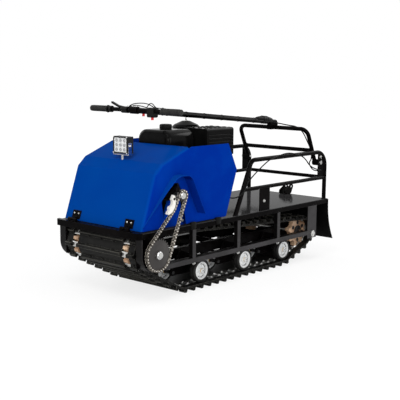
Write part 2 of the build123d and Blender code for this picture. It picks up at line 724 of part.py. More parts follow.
def make_cowl():
    form = cowl_form(0)
    hollow = cowl_form(cowl_thickness)
    panel_inner = cowl_half - cowl_thickness
    below = Pos(0, 0, -cowl_thickness - 1) * hollow
    behind = block(cowl_apex[0] - 1, cowl_top_front_x, -panel_inner, panel_inner, cowl_bottom - 1, cowl_top + 1)
    shell = form - hollow - below - behind
    shell -= prism(outline(*drive_cutout), panel_inner - 1, cowl_half + 1)
    arch = trace(FilletPolyline(*guard_line, radius=guard_bend), line_width=cowl_thickness)
    guard = prism(arch, panel_inner, cowl_half + guard_depth)
    taper = [(x, cowl_half + depth) for x, depth in guard_taper]
    taper = outline(*taper, (taper[0][0], taper[-1][1]))
    guard -= extrude(Plane.XY.offset(cowl_bottom) * taper, amount=cowl_top - cowl_bottom)
    save("cowl", shell + guard)

    rise = Vector(cowl_fold_low[0] - cowl_front_x, cowl_fold_low[1] - cowl_bottom).normalized()
    outward = Vector(rise.Y, -rise.X)
    heel = Vector(cowl_front_x, cowl_bottom) + rise * hinge_clear
    leaf = outline(*[heel + rise * a + outward * b for a, b in
                     ((0, 0), (hinge_height, 0), (hinge_height, leaf_thickness), (0, leaf_thickness))])
    neck = outline(heel, heel + rise * knuckle_radius * 2, (hinge_x, hinge_z + knuckle_radius), (hinge_x, hinge_z))
    knuckle = Pos(hinge_x, hinge_z) * Circle(knuckle_radius)
    third = hinge_width / 3
    half = hinge_width / 2
    hinge = prism(leaf, -half, half) + prism(neck + knuckle, -third / 2, third / 2)
    hinge -= rod(hinge_x, hinge_z, hinge_pin_radius + fit, -third, third)
    hinge -= form
    save("hinge_leaves", *[Pos(0, side * hinge_y, 0) * hinge for side in (-1, 1)])
    slot = third / 2 + hinge_gap
    base = block(hinge_x - knuckle_radius, hinge_x + knuckle_radius, -half, half, bumper_top, hinge_z)
    base -= block(hinge_x - half, hinge_x + half, -slot, slot, hinge_z - knuckle_radius - hinge_gap, hinge_z)
    for knuckle in both_sides(rod(hinge_x, hinge_z, knuckle_radius, slot, half)):
        base += knuckle
    base += rod(hinge_x, hinge_z, hinge_pin_radius, -half, half)
    save("hinge_bases", *[Pos(0, side * hinge_y, 0) * base for side in (-1, 1)])

    half = lamp_width / 2
    low, high = lamp_z - lamp_height / 2, lamp_z + lamp_height / 2
    lamp_rear = lamp_x - lamp_depth
    lamp = block(lamp_rear, lamp_x, -half, half, low, high)
    inner = half - lamp_border
    lens_low, lens_high = low + lamp_border, high - lamp_border
    lamp -= block(lamp_x - lens_recess, lamp_x, -inner, inner, lens_low, lens_high)
    spacing = lamp_width / lamp_fins
    for i in range(1, lamp_fins):
        y = i * spacing - half
        lamp -= block(lamp_rear, lamp_rear + lamp_fin_depth, y - lamp_fin_gap / 2, y + lamp_fin_gap / 2, low, high)
    save("lamp_housing", lamp)
    lens_rear = lamp_x - lens_recess
    save("lamp_lens", block(lens_rear, lens_rear + lens_thickness, -inner, inner, lens_low, lens_high))
    yoke_half = half + yoke_thickness
    yoke_low = low - yoke_margin
    yoke_rear, yoke_front = lens_rear - lamp_fin_depth - yoke_margin, lens_rear
    yoke = block(yoke_rear, yoke_front, -yoke_half, yoke_half, yoke_low, yoke_low + yoke_height)
    yoke -= block(lamp_rear, lamp_x, -half, half, yoke_low + yoke_thickness, high)
    stud = Cylinder(lamp_stud_radius, lamp_stud_length, align=(Align.CENTER, Align.CENTER, Align.MAX))
    yoke += Pos((yoke_rear + yoke_front) / 2, 0, yoke_low + yoke_thickness) * stud
    save("lamp_bracket", yoke - form)


def make_engine():
    rear, front = engine_rear_x + crankcase_setback, engine_front_x - crankcase_setback
    case_top = engine_bottom + crankcase_height
    middle = (rear + front) / 2
    engine = block(rear, front, -crankcase_half, crankcase_half, engine_bottom, case_top)
    engine += block(middle - barrel_half, middle + barrel_half, -barrel_half, barrel_half, case_top, tank_bottom)
    spacing = (tank_bottom - case_top) / fin_count
    for i in range(fin_count):
        fin_top = tank_bottom - i * spacing
        engine += block(middle - fin_half, middle + fin_half, -fin_half, fin_half, fin_top - fin_thickness, fin_top)
    recoil_z = case_top - recoil_radius + recoil_drop
    engine += rod(middle, recoil_z, recoil_radius, -engine_half, -crankcase_half)
    save("engine_block", engine)
    rail = block(engine_rear_x, engine_front_x, engine_rail_y, engine_rail_y + engine_rail_width, deck_top,
                 engine_bottom)
    save("engine_rails", *both_sides(rail))

    tank_x = engine_front_x - tank_length
    end = Pos(0, tank_bottom + tank_height / 2) * RectangleRounded(2 * tank_half, tank_height, tank_round)
    tank = extrude(Plane.YZ.offset(tank_x) * end, amount=tank_length)
    tank = chamfer(tank.edges().group_by(Axis.X)[-1], tank_edge / 2)
    cap = Cylinder(tank_cap_radius, tank_cap_height, align=(Align.CENTER, Align.CENTER, Align.MIN))
    save("fuel_tank", tank, Pos(tank_x + tank_length / 2, 0, tank_top) * cap)

    guard_top = tank_bottom + guard_height
    x0, x1 = engine_rear_x, tank_x - guard_gap
    guard = block(x0, x1, guard_gap, engine_half, tank_bottom, guard_top)
    guard = fillet(guard.edges().filter_by(Axis.X).group_by(Axis.Z)[-1], guard_round)
    pitch = (guard_height - 2 * louvre_margin) / louvre_count
    for i in range(louvre_count):
        z = tank_bottom + louvre_margin + i * pitch
        above = z + louvre_height
        guard -= block(x0 + louvre_margin, x1 - louvre_margin, engine_half - louvre_depth, engine_half, z, above)
        guard -= block(x0, x0 + louvre_depth, guard_gap + louvre_margin, engine_half - louvre_margin, z, above)
    save("muffler_guard", guard)

    lid_top = cleaner_rim + dome_rise
    profile = outline((0, tank_bottom), (cleaner_radius, tank_bottom), (cleaner_radius, cleaner_rim),
                      (cleaner_radius - lid_edge, cleaner_rim + lid_edge), (lid_flat, lid_top), (0, lid_top))
    cleaner = revolve(Plane.XZ * profile, Axis.Z)
    save("air_cleaner", Pos(cleaner_x, cleaner_y, 0) * cleaner)


def make_chain():
    points = [chain_path.place(i * chain_pitch)[0] for i in range(chain_links)]
    plate_y = link_gap / 2
    pieces = []
    for i, ((x0, z0), (x1, z1)) in enumerate(zip(points, points[1:] + points[:1])):
        span = hypot(x1 - x0, z1 - z0) / 2
        tall = link_height / 2
        plate = outline((span + tall, 0), (span, tall), (-span, tall), (-span - tall, 0), (-span, -tall),
                        (span, -tall))
        plate = Pos((x0 + x1) / 2, (z0 + z1) / 2) * Rot(0, 0, degrees(atan2(z1 - z0, x1 - x0))) * plate
        y0 = plate_y + (i % 2) * link_thickness
        for y in (chain_y + y0, chain_y - y0 - link_thickness):
            pieces.append(prism(plate, y, y + link_thickness))
        roller = Pos(x0, z0) * RegularPolygon(roller_radius, 6)
        pieces.append(prism(roller, chain_y - plate_y, chain_y + plate_y))
    save("chain", pieces[0].fuse(*pieces[1:]))


def make_drive():
    save("jackshaft", rod(small_x, small_z, jackshaft_radius, -stand_y - stand_thickness / 2 - shaft_end,
                          chain_y + shaft_end))
    stand = Loop([(small_x, small_z, stand_head, 1)] +
                 [(small_x + side * stand_foot, deck_top + stand_foot_round, stand_foot_round, 1)
                  for side in (-1, 1)]).face()
    stand -= Pos(small_x, small_z) * Circle(jackshaft_radius + fit)
    stand_outer = stand_y + stand_thickness / 2
    save("jackshaft_stands", *both_sides(prism(stand, stand_outer - stand_thickness, stand_outer)))

    chain_wheels = [("small_sprocket", small_x, small_z, small_teeth, small_radius, jackshaft_radius),
                    ("large_sprocket", drive_x, drive_z, large_teeth, large_radius, axle_radius)]
    y0, y1 = chain_y - sprocket_thickness / 2, chain_y + sprocket_thickness / 2
    for node, x, z, teeth, radius, bore in chain_wheels:
        angle = phase(chain_path, x, z, radius, chain_pitch, chain_links)
        root = radius - roller_radius - 2 * seat
        profile = star(x, z, teeth, angle, (root, 0.55), (radius, 0.28), (radius + tooth_rise, 0.1))
        sprocket = prism(profile, y0, y1)
        if radius > 2 * hub_radius:
            sprocket += rod(x, z, hub_radius, y1, y1 + hub_depth)
        save(node, sprocket - rod(x, z, bore + fit, y0, y1 + hub_depth))
    make_chain()

    inward = chain_circles(shoe_radius)[1]
    toward = degrees(atan2(inward[1] - shoe_z, inward[0] - shoe_x)) + shoe_turn
    face_radius = shoe_radius - link_height / 2 - shoe_gap
    shoe = Circle(face_radius) & Pos(face_radius - shoe_depth / 2, 0) * Rectangle(shoe_depth, 2 * shoe_half)
    for along, radius in notches:
        shoe -= Pos(face_radius - shoe_depth - notch_outset, along) * Circle(radius)
    bolt_in = face_radius - shoe_depth / 2 - shoe_bolt_inset
    shoe -= Pos(bolt_in, -shoe_bolt_rise) * Circle(stud_radius + fit)
    shoe = Pos(shoe_x, shoe_z) * Rot(0, 0, toward) * shoe
    save("tensioner_shoe", prism(shoe, chain_y - shoe_width / 2, chain_y + shoe_width / 2))
    tilt = radians(toward)
    stud_x = shoe_x + bolt_in * cos(tilt) + shoe_bolt_rise * sin(tilt)
    stud_z = shoe_z + bolt_in * sin(tilt) - shoe_bolt_rise * cos(tilt)
    guide_x = stud_x + arm_rise * cos(radians(arm_angle))
    guide_z = stud_z + arm_rise * sin(radians(arm_angle))
    arm_outer = stand_outer + arm_thickness
    arm = prism(Loop([(small_x, small_z, stand_head, 1), (stud_x, stud_z, arm_round, 1),
                      (guide_x, guide_z, arm_round, 1)]).face(), stand_outer, arm_outer)
    arm -= rod(small_x, small_z, jackshaft_radius + fit, stand_outer, arm_outer)
    arm += rod(stud_x, stud_z, stud_radius, arm_outer, chain_y + shoe_width / 2 + stud_end)
    arm += rod(guide_x, guide_z, stud_radius, arm_outer, chain_y)
    arm += rod(guide_x, guide_z, guide_radius, chain_y - shoe_width / 2, chain_y + shoe_width / 2)
    save("chain_tensioner", arm)


os.makedirs("parts", exist_ok=True)
make_track()
make_running_gear()
make_frame()
make_load_rails()
make_handle()
make_cowl()
make_engine()
make_drive()
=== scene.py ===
from math import asin, atan2, cos, hypot, pi, radians, sin

import bmesh
import bpy
from mathutils import Matrix, Quaternion, Vector


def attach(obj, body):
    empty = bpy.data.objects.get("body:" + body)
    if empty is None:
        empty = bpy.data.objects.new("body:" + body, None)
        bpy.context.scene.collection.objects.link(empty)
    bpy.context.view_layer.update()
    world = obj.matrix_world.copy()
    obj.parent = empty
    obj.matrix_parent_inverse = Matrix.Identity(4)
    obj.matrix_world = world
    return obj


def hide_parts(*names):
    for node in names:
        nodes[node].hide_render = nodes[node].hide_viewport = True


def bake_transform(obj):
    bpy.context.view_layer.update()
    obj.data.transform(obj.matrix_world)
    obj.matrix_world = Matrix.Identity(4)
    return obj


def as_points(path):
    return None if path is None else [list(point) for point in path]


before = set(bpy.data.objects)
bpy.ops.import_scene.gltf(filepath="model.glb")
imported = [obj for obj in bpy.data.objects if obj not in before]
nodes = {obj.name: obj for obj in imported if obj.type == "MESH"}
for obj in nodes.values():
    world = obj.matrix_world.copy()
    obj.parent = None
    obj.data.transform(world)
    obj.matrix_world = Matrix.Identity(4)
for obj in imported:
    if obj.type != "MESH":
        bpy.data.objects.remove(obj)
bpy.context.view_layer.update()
print("frame loaded,", len(nodes), "nodes")


def addObject(name, data):
    made = bpy.data.objects.new(name, data)
    bpy.context.scene.collection.objects.link(made)
    return made


# node trees

class Wire:
    def __init__(self, board, socket):
        self.board = board
        self.socket = socket

    def calc(self, operation, first, second):
        return self.board.node("ShaderNodeMath", {"operation": operation}, {0: first, 1: second})

    def __add__(self, other):
        return self.calc("ADD", self, other)

    __radd__ = __add__

    def __sub__(self, other):
        return self.calc("SUBTRACT", self, other)

    def __rsub__(self, other):
        return self.calc("SUBTRACT", other, self)

    def __mul__(self, other):
        return self.calc("MULTIPLY", self, other)

    __rmul__ = __mul__

    def __or__(self, other):
        return self.calc("MAXIMUM", self, other)

    __ror__ = __or__

    def held(self):
        return self.board.node("ShaderNodeClamp", {}, {0: self})


class Board:
    def __init__(self, tree):
        self.tree = tree

    def node(self, kind, settings=None, sockets=None, out=0):
        made = self.tree.nodes.new(kind)
        for key, value in (settings or {}).items():
            setattr(made, key, value)
        for key, value in (sockets or {}).items():
            self.plug(made.inputs[key], value)
        return Wire(self, made.outputs[out])

    def plug(self, socket, value):
        if isinstance(value, Wire):
            self.tree.links.new(value.socket, socket)
        elif socket.type == "RGBA":
            socket.default_value = (*value, 1)
        else:
            socket.default_value = value

    def feed(self, name, **sockets):
        # values or links for a node that the tree starts with
        for key, value in sockets.items():
            self.plug(self.tree.nodes[name].inputs[key.replace("_", " ")], value)

    def spread(self, value, low, high, start=0.0, end=1.0):
        # value carried from start and end to low and high
        return self.node("ShaderNodeMapRange", {}, {"Value": value, "From Min": start, "From Max": end,
                                                    "To Min": low, "To Max": high})


# camera, light and floor

view = {"place": (3.6159, 3.1489, 1.1539), "azimuth": 131.52, "elevation": 8.80, "roll": 0.484, "lens": 76.5,
        "sensor": 36, "clip": 100}


def makeCamera():
    a, e, r = (radians(view[key]) for key in ("azimuth", "elevation", "roll"))
    back = Vector((sin(a) * cos(e), -cos(a) * cos(e), sin(e)))
    right = Vector((cos(a), sin(a), 0))
    up = back.cross(right)
    turnedRight = cos(r) * right + sin(r) * up
    turnedUp = cos(r) * up - sin(r) * right
    data = bpy.data.cameras.new("camera")
    data.lens = view["lens"]
    data.sensor_width = view["sensor"]
    data.clip_end = view["clip"]
    camera = addObject("camera", data)
    columns = Matrix((turnedRight, turnedUp, back)).transposed().to_4x4()
    camera.matrix_world = Matrix.Translation(view["place"]) @ columns
    bpy.context.scene.camera = camera


lamps = [
    # name, place, aim, size, watts
    ("key", (3.2, 1.4, 4.2), (0.3, 0.1, 0.4), 2.6, 82),
    ("side", (0.4, 4.8, 1.9), (0.0, 0.2, 0.3), 3.0, 78),
    ("fill", (4.3, 3.0, 1.5), (0.2, 0.1, 0.3), 1.6, 60),
    ("rear", (-4.2, 1.4, 3.4), (0.0, 0.0, 0.5), 2.6, 85),
    ("far", (1.0, -4.4, 2.4), (0.0, 0.0, 0.4), 3.0, 62),
]
sky = {"colour": (1, 1, 1), "shown": 1.0, "light": 0.44}
floorLook = {"half": 14.0, "colour": (0.9, 0.9, 0.9), "share": 0.74, "glow": 1.06, "near": 1.0, "far": 3.6}


def makeLight():
    for name, place, aim, size, watts in lamps:
        data = bpy.data.lights.new(name, "AREA")
        data.shape = "DISK"
        data.size = size
        data.energy = watts
        lamp = addObject(name, data)
        lamp.location = place
        lamp.rotation_euler = (Vector(aim) - Vector(place)).to_track_quat("-Z", "Y").to_euler()
    world = bpy.data.worlds.new("studio")
    bpy.context.scene.world = world
    world.use_nodes = True
    board = Board(world.node_tree)
    camera, glossy, through = (board.node("ShaderNodeLightPath", out=f"Is {kind} Ray")
                               for kind in ("Camera", "Glossy", "Transmission"))
    level = board.spread(camera | glossy | through, sky["light"], sky["shown"])
    board.feed("Background", Color=sky["colour"], Strength=level)


def makeFloor():
    half = floorLook["half"]
    mesh = bpy.data.meshes.new("floor")
    corners = [(-half, -half, 0), (half, -half, 0), (half, half, 0), (-half, half, 0)]
    mesh.from_pydata(corners, [], [(0, 1, 2, 3)])
    floor = addObject("floor", mesh)
    paint = bpy.data.materials.new("floorPaint")
    paint.use_nodes = True
    board = Board(paint.node_tree)
    board.tree.nodes.remove(board.tree.nodes["Principled BSDF"])
    shade = board.node("ShaderNodeBsdfDiffuse", {}, {"Color": floorLook["colour"]})
    glow = board.node("ShaderNodeEmission", {}, {"Strength": floorLook["glow"]})
    spot = board.node("ShaderNodeTexCoord", out="Object")
    reach = board.node("ShaderNodeVectorMath", {"operation": "LENGTH"}, {0: spot}, out="Value")
    white = board.spread(reach, floorLook["share"], 1.0, floorLook["near"], floorLook["far"])
    share = board.node("ShaderNodeLightPath", out="Is Camera Ray") * white
    surface = board.node("ShaderNodeMixShader", {}, {0: share, 1: shade, 2: glow})
    board.feed("Material Output", Surface=surface)
    mesh.materials.append(paint)


makeCamera()
makeLight()
makeFloor()
bpy.context.scene.view_settings.view_transform = "Standard"
print("camera, light and floor set")


# finishes

class Finish(Board):
    def __init__(self, name):
        self.material = bpy.data.materials.new(name)
        self.material.use_nodes = True
        super().__init__(self.material.node_tree)
        self.place = self.node("ShaderNodeTexCoord", out="Object")

    def noise(self, scale, detail=3.0, rough=0.55, warp=0.0):
        return self.node("ShaderNodeTexNoise", {}, {"Vector": self.place, "Scale": scale, "Detail": detail,
                                                    "Roughness": rough, "Distortion": warp})

    def mask(self, value, low, high):
        return self.node("ShaderNodeMapRange", {"interpolation_type": "SMOOTHSTEP"},
                         {"Value": value, "From Min": low, "From Max": high})

    def mix(self, share, first, second):
        # the sockets of a Mix node that hold colours
        return self.node("ShaderNodeMix", {"data_type": "RGBA"}, {0: share, 6: first, 7: second}, out=2)

    def toward(self, direction):
        # how far the surface faces a direction
        normal = self.node("ShaderNodeNewGeometry", out="Normal")
        return self.node("ShaderNodeVectorMath", {"operation": "DOT_PRODUCT"}, {0: normal, 1: direction},
                         out="Value")

    def edges(self, radius):
        soft = self.node("ShaderNodeBevel", {"samples": 6}, {"Radius": radius})
        return soft, self.mask(1 - self.toward(soft), *cuts["edge"])

    def sideways(self):
        side = self.toward((0.0, 1.0, 0.0))
        return self.mask(side * side, *cuts["side"])


finishRows = {
    # colour and second colour, roughness low and high, bump strength and scale, rounded edge,
    # colour and share of the worn and lit edge, which is edge wear with a painted edge highlight, other
    # values
    # frameBlack: its worn and lit edge adds a painted edge highlight to the edge wear
    "frameBlack": ((0.0015, 0.0012, 0.0013), (0.0036, 0.0029, 0.003), (0.16, 0.28), (0.05, 1300), 0.0022,
                   (0.07, 0.062, 0.064), 0.45, {"gloss": 0.02}),
    # postSatin: black frame paint lifted to grey as a painted reflection on faces that look sideways;
    # paintedShade turns every other face back to black as painted shade
    "postSatin": ((0.026, 0.025, 0.026), (0.04, 0.038, 0.04), (0.28, 0.4), (0.06, 1100), 0.002,
                  (0.1, 0.098, 0.1), 0.4, {"gloss": 0.1, "paintedShade": (0.0032, 0.0028, 0.0029)}),
    # deck: dark paint lifted to grey as a painted reflection, with almost no real gloss
    "deckGrey": ((0.026, 0.0258, 0.0266), (0.038, 0.0375, 0.0385), (0.06, 0.12), (0.02, 500), 0.0015,
                 (0.11, 0.11, 0.11), 0.4, {"gloss": 0.006}),
    # cowlBlue: open is a lighter teal painted reflection on faces that look forward and up, inside is a dark
    # painted shade on faces that look back and down, and its lighter blue worn and lit edge is a painted
    # edge highlight
    "cowlBlue": ((0.0003, 0.0215, 0.248), (0.0004, 0.03, 0.275), (0.07, 0.13), (0.02, 420), 0.003,
                 (0.02, 0.1, 0.42), 0.4,
                 {"gloss": 0.0015, "open": (0.0004, 0.056, 0.29), "inside": (0.0003, 0.0075, 0.135)}),
    "trackRubber": ((0.003, 0.0029, 0.0027), (0.0085, 0.0082, 0.0074), (0.36, 0.58), (0.22, 520), 0.006,
                    (0.15, 0.145, 0.125), 0.9, {"gloss": 0.1}),
    "scuffedRubber": ((0.02, 0.0195, 0.017), (0.062, 0.06, 0.052), (0.45, 0.66), (0.2, 520), 0.001,
                      (0.1, 0.097, 0.085), 0.7, {"gloss": 0.1}),
    "wheelRubber": ((0.0055, 0.0055, 0.0055), (0.014, 0.0135, 0.013), (0.42, 0.62), (0.16, 700), 0.002,
                    (0.04, 0.04, 0.038), 0.5, {"gloss": 0.2}),
    "wheelWhite": ((0.66, 0.67, 0.67), (0.8, 0.81, 0.81), (0.3, 0.46), (0.05, 600), 0.0015,
                   (0.82, 0.82, 0.82), 0.4, {"gloss": 0.5}),
    "sprocketTan": ((0.33, 0.175, 0.095), (0.68, 0.47, 0.31), (0.3, 0.48), (0.08, 480), 0.003,
                    (0.82, 0.68, 0.52), 0.8, {"gloss": 0.4}),
    "zincSteel": ((0.5, 0.5, 0.49), (0.64, 0.64, 0.62), (0.2, 0.38), (0.05, 900), 0.001, (0.8, 0.8, 0.78),
                  0.5, {"metal": 1.0}),
    "chromeSteel": ((0.62, 0.62, 0.63), (0.74, 0.74, 0.74), (0.1, 0.22), (0.03, 900), 0.001,
                    (0.85, 0.85, 0.85), 0.4, {"metal": 1.0}),
    "sprocketSteel": ((0.036, 0.033, 0.032), (0.06, 0.056, 0.054), (0.4, 0.54), (0.06, 800), 0.001,
                      (0.4, 0.38, 0.35), 0.8, {"metal": 0.3, "gloss": 0.3}),
    "chainSteel": ((0.34, 0.31, 0.265), (0.5, 0.465, 0.41), (0.2, 0.36), (0.05, 1500), 0.0006,
                   (0.74, 0.7, 0.62), 0.7, {"metal": 1.0}),
    # chainDark and rollerSteel: the chain steel darkened as painted shade, so the links read bright with
    # dark gaps
    "chainDark": ((0.075, 0.065, 0.055), (0.15, 0.132, 0.112), (0.24, 0.4), (0.05, 1500), 0.0006,
                  (0.4, 0.37, 0.33), 0.6, {"metal": 1.0}),
    "pinSteel": ((0.64, 0.61, 0.56), (0.76, 0.73, 0.67), (0.22, 0.36), (0.04, 1500), 0.0006,
                 (0.95, 0.93, 0.88), 0.5, {"metal": 0.6}),
    "rollerSteel": ((0.03, 0.027, 0.023), (0.07, 0.063, 0.053), (0.25, 0.42), (0.04, 1500), 0.0006,
                    (0.4, 0.38, 0.34), 0.6, {"metal": 1.0}),
    "engineBlack": ((0.003, 0.0029, 0.0029), (0.006, 0.0058, 0.0058), (0.08, 0.18), (0.03, 900), 0.003,
                    (0.05, 0.05, 0.05), 0.3, {"gloss": 0.05}),
    "castDark": ((0.014, 0.014, 0.0145), (0.026, 0.026, 0.026), (0.42, 0.62), (0.2, 420), 0.002,
                 (0.16, 0.16, 0.16), 0.5, {"metal": 0.2, "gloss": 0.2}),
    "lampBlack": ((0.0075, 0.0075, 0.0075), (0.015, 0.015, 0.015), (0.34, 0.5), (0.06, 1500), 0.001,
                  (0.2, 0.2, 0.2), 0.6, {"gloss": 0.2}),
    "lensClear": ((0.74, 0.75, 0.75), (0.84, 0.85, 0.85), (0.08, 0.16), (0.02, 300), 0.0008,
                  (0.9, 0.92, 0.94), 0.3, {"coat": 0.4}),
    "ledGrey": ((0.36, 0.36, 0.37), (0.52, 0.52, 0.53), (0.16, 0.3), (0.03, 900), 0.0006,
                (0.75, 0.75, 0.76), 0.5, {"metal": 0.3}),
    "shoeWhite": ((0.66, 0.64, 0.58), (0.78, 0.76, 0.7), (0.36, 0.52), (0.07, 500), 0.0015,
                  (0.84, 0.82, 0.78), 0.4, {}),
    "controlBlack": ((0.0036, 0.0035, 0.0033), (0.008, 0.0078, 0.0072), (0.34, 0.5), (0.12, 1600), 0.0015,
                     (0.06, 0.06, 0.06), 0.5, {"gloss": 0.06}),
    "gripRubber": ((0.0085, 0.0083, 0.0076), (0.017, 0.0165, 0.0155), (0.48, 0.7), (0.18, 1300), 0.0012,
                   (0.06, 0.06, 0.056), 0.5, {"gloss": 0.2}),
    "cableBlack": ((0.003, 0.003, 0.003), (0.0062, 0.0062, 0.0062), (0.3, 0.45), (0.08, 1800), 0.0008,
                   (0.05, 0.05, 0.05), 0.3, {"gloss": 0.06}),
    "buttonRed": ((0.5, 0.006, 0.008), (0.6, 0.01, 0.012), (0.22, 0.34), (0.03, 900), 0.001,
                  (0.75, 0.1, 0.1), 0.4, {"gloss": 0.3}),
    "flapBlack": ((0.0024, 0.0024, 0.0024), (0.0052, 0.0052, 0.0052), (0.26, 0.42), (0.1, 500), 0.001,
                  (0.04, 0.04, 0.04), 0.4, {"gloss": 0.03}),
    "brassHub": ((0.48, 0.33, 0.14), (0.6, 0.44, 0.22), (0.22, 0.4), (0.04, 900), 0.0008, (0.8, 0.68, 0.42),
                 0.5, {"metal": 1.0}),
}
dust = {"colour": (0.045, 0.043, 0.041), "share": 0.06, "dulls": 0.06}
grain = {
    # noise scale, detail, roughness and warp
    "broad": (5.5, 4.0, 0.6, 0.4), "fine": (60.0, 3.0, 0.6), "edgeWearAndGlint": (140.0, 2.0),
    "paintedSheen": (1.7, 1.0, 0.4, 0.5), "patches": (7.0, 5.0, 0.65, 0.6),
}
cuts = {
    # values where each mask starts and ends
    "second": (0.35, 0.68), "edge": (0.02, 0.2), "side": (0.45, 0.9), "edgeWearAndGlint": (0.46, 0.62),
    "patches": (0.45, 0.75), "lying": (0.2, 0.95), "open": (0.25, 0.75), "under": (0.25, -0.3),
}
upright, sloped = (0.0, 0.0, 1.0), (0.6, 0.0, 1.0)
paintedSheenShares = (0.45, 1.0)
roughMix = {"fine": 0.55, "broad": 0.45, "spare": 0.04, "edge": 0.05}
bumpRules = {"distance": 0.001, "detail": 2.0}


def makeFinish(name, colour, second, rough, bump, edge, wornAndLitEdge, wornAndLitShare, extra):
    finish = Finish(name)
    broad, fine = finish.noise(*grain["broad"]), finish.noise(*grain["fine"])
    shown = finish.mix(finish.mask(broad, *cuts["second"]), colour, second)
    # painted light on the cowl: a painted reflection on faces that look forward and up, broken by noise,
    # then painted shade on faces that look back and down inside the arch, away from the sides
    if "open" in extra:
        paintedSheen = finish.spread(finish.noise(*grain["paintedSheen"]), *paintedSheenShares)
        shown = finish.mix(finish.mask(finish.toward(sloped), *cuts["open"]) * paintedSheen, shown, extra["open"])
        under = finish.mask(finish.toward(sloped), *cuts["under"])
        shown = finish.mix(under * (1 - finish.sideways()), shown, extra["inside"])
    # painted shade: faces that do not look sideways take the paintedShade colour
    if "paintedShade" in extra:
        shown = finish.mix(finish.sideways(), extra["paintedShade"], shown)
    soft, rim = finish.edges(edge)
    edgeWearAndGlint = finish.mask(finish.noise(*grain["edgeWearAndGlint"]), *cuts["edgeWearAndGlint"])
    # lighter edges: edge wear, and on the black frame and the blue cowl also a painted edge highlight
    shown = finish.mix((rim * edgeWearAndGlint * wornAndLitShare).held(), shown, wornAndLitEdge)
    patches = finish.mask(finish.noise(*grain["patches"]), *cuts["patches"])
    settled = patches * finish.mask(finish.toward(upright), *cuts["lying"])
    shown = finish.mix((settled * dust["share"]).held(), shown, dust["colour"])
    low, high = rough
    blend = fine * roughMix["fine"] + broad * roughMix["broad"]
    dull = finish.spread(blend, low - roughMix["spare"], high + roughMix["spare"])
    dull = (dull + settled * dust["dulls"] + rim * roughMix["edge"]).held()
    strength, scale = bump
    height = finish.noise(scale, bumpRules["detail"])
    bumped = finish.node("ShaderNodeBump", {}, {"Strength": strength, "Distance": bumpRules["distance"],
                                                "Height": height, "Normal": soft})
    finish.feed("Principled BSDF", Base_Color=shown, Roughness=dull, Normal=bumped,
                Metallic=extra.get("metal", 0.0), Coat_Weight=extra.get("coat", 0.0),
                Specular_IOR_Level=extra.get("gloss", 0.5))
    return finish.material


finishes = {name: makeFinish(name, *row) for name, row in finishRows.items()}
print("finishes made,", len(finishes))

finishNodes = {
    # nodes that wear each finish
    "trackRubber": "track",
    "sprocketTan": "drive_sprockets idler_sprockets",
    "zincSteel": "drive_axle idler_axle pivot_bolts jackshaft",
    "wheelWhite": "wheel_discs",
    "wheelRubber": "wheel_tyres",
    "castDark": "wheel_axles engine_block",
    "frameBlack": "bogie_tubes bogie_rockers suspension_beams top_rails cross_members cheek_plates bumper "
                  "tow_hitch load_rail_left load_rail_right rear_cross_rail side_plates hinge_bases "
                  "engine_rails chain_tensioner hinge_leaves handle_fork handle_column handlebar",
    # posts, lower rails and axle plates carry the painted side light
    "postSatin": "frame_posts lower_rails axle_plates",
    "deckGrey": "deck",
    "flapBlack": "rear_flap",
    "cableBlack": "rail_cable handle_cable",
    "engineBlack": "fuel_tank muffler_guard air_cleaner",
    "cowlBlue": "jackshaft_stands cowl",
    "sprocketSteel": "small_sprocket large_sprocket",
    "chainSteel": "chain",
    "shoeWhite": "tensioner_shoe",
    "lampBlack": "lamp_housing",
    "lensClear": "lamp_lens",
    "chromeSteel": "lamp_bracket",
    "gripRubber": "grips",
    "controlBlack": "handle_controls",
    "buttonRed": "stop_buttons",
}


def dressNodes():
    for finish, names in finishNodes.items():
        for name in names.split():
            paints = nodes[name].data.materials
            paints.clear()
            paints.append(finishes[finish])


dressNodes()
print("nodes dressed")


# mesh making, from sizes in millimetres

meshAngles = {"bevelled": 30, "sharp": 38}


def mm(*values):
    return tuple(value / 1000 for value in values)


def scaled(outline, x=1, z=1):
    return [(a * x, b * z) for a, b in outline]


def addTurned(bm, profile, steps=24, capped=True):
    # profile of radius and height around Z, capped at both ends or closed into a ring
    turns = [2 * pi * i / steps for i in range(steps)]
    loops = []
    for row in profile:
        radius, height = mm(*row)
        loops.append([bm.verts.new((radius * cos(t), radius * sin(t), height)) for t in turns])
    addLoft(bm, loops, capped)


def addLoft(bm, loops, capped=True):
    # skin over loops of vertices
    count = len(loops[0])
    for first, second in zip(loops, loops[1:] if capped else loops[1:] + loops[:1]):
        for i in range(count):
            j = (i + 1) % count
            bm.faces.new((first[i], first[j], second[j], second[i]))
    if capped:
        bm.faces.new(loops[0][::-1])
        bm.faces.new(loops[-1])


def addSlab(bm, outline, near, far):
    # outline in X and Z, drawn out along Y
    near, far = sorted((near, far))
    base = [bm.verts.new(mm(x, near, z)) for x, z in outline]
    top = [bm.verts.new(mm(x, far, z)) for x, z in outline]
    bm.faces.new(base)
    bm.faces.new(top[::-1])
    for i in range(len(outline)):
        j = (i + 1) % len(outline)
        bm.faces.new((base[j], base[i], top[i], top[j]))


def meshOf(bm, name, bevel=0.0, rounds=2):
    bmesh.ops.recalc_face_normals(bm, faces=bm.faces)
    if bevel:
        least = radians(meshAngles["bevelled"])
        corners = [edge for edge in bm.edges if edge.is_manifold and edge.calc_face_angle(0) > least]
        bmesh.ops.bevel(bm, geom=corners, offset=bevel / 1000, segments=rounds, profile=0.5, affect="EDGES",
                        clamp_overlap=True)
        bmesh.ops.recalc_face_normals(bm, faces=bm.faces)
    mesh = bpy.data.meshes.new(name)
    bm.to_mesh(mesh)
    bm.free()
    mesh.shade_smooth()
    mesh.set_sharp_from_angle(angle=radians(meshAngles["sharp"]))
    return mesh


templates = []


def template(mesh):
    part = addObject(mesh.name, mesh)
    templates.append(part)
    return part


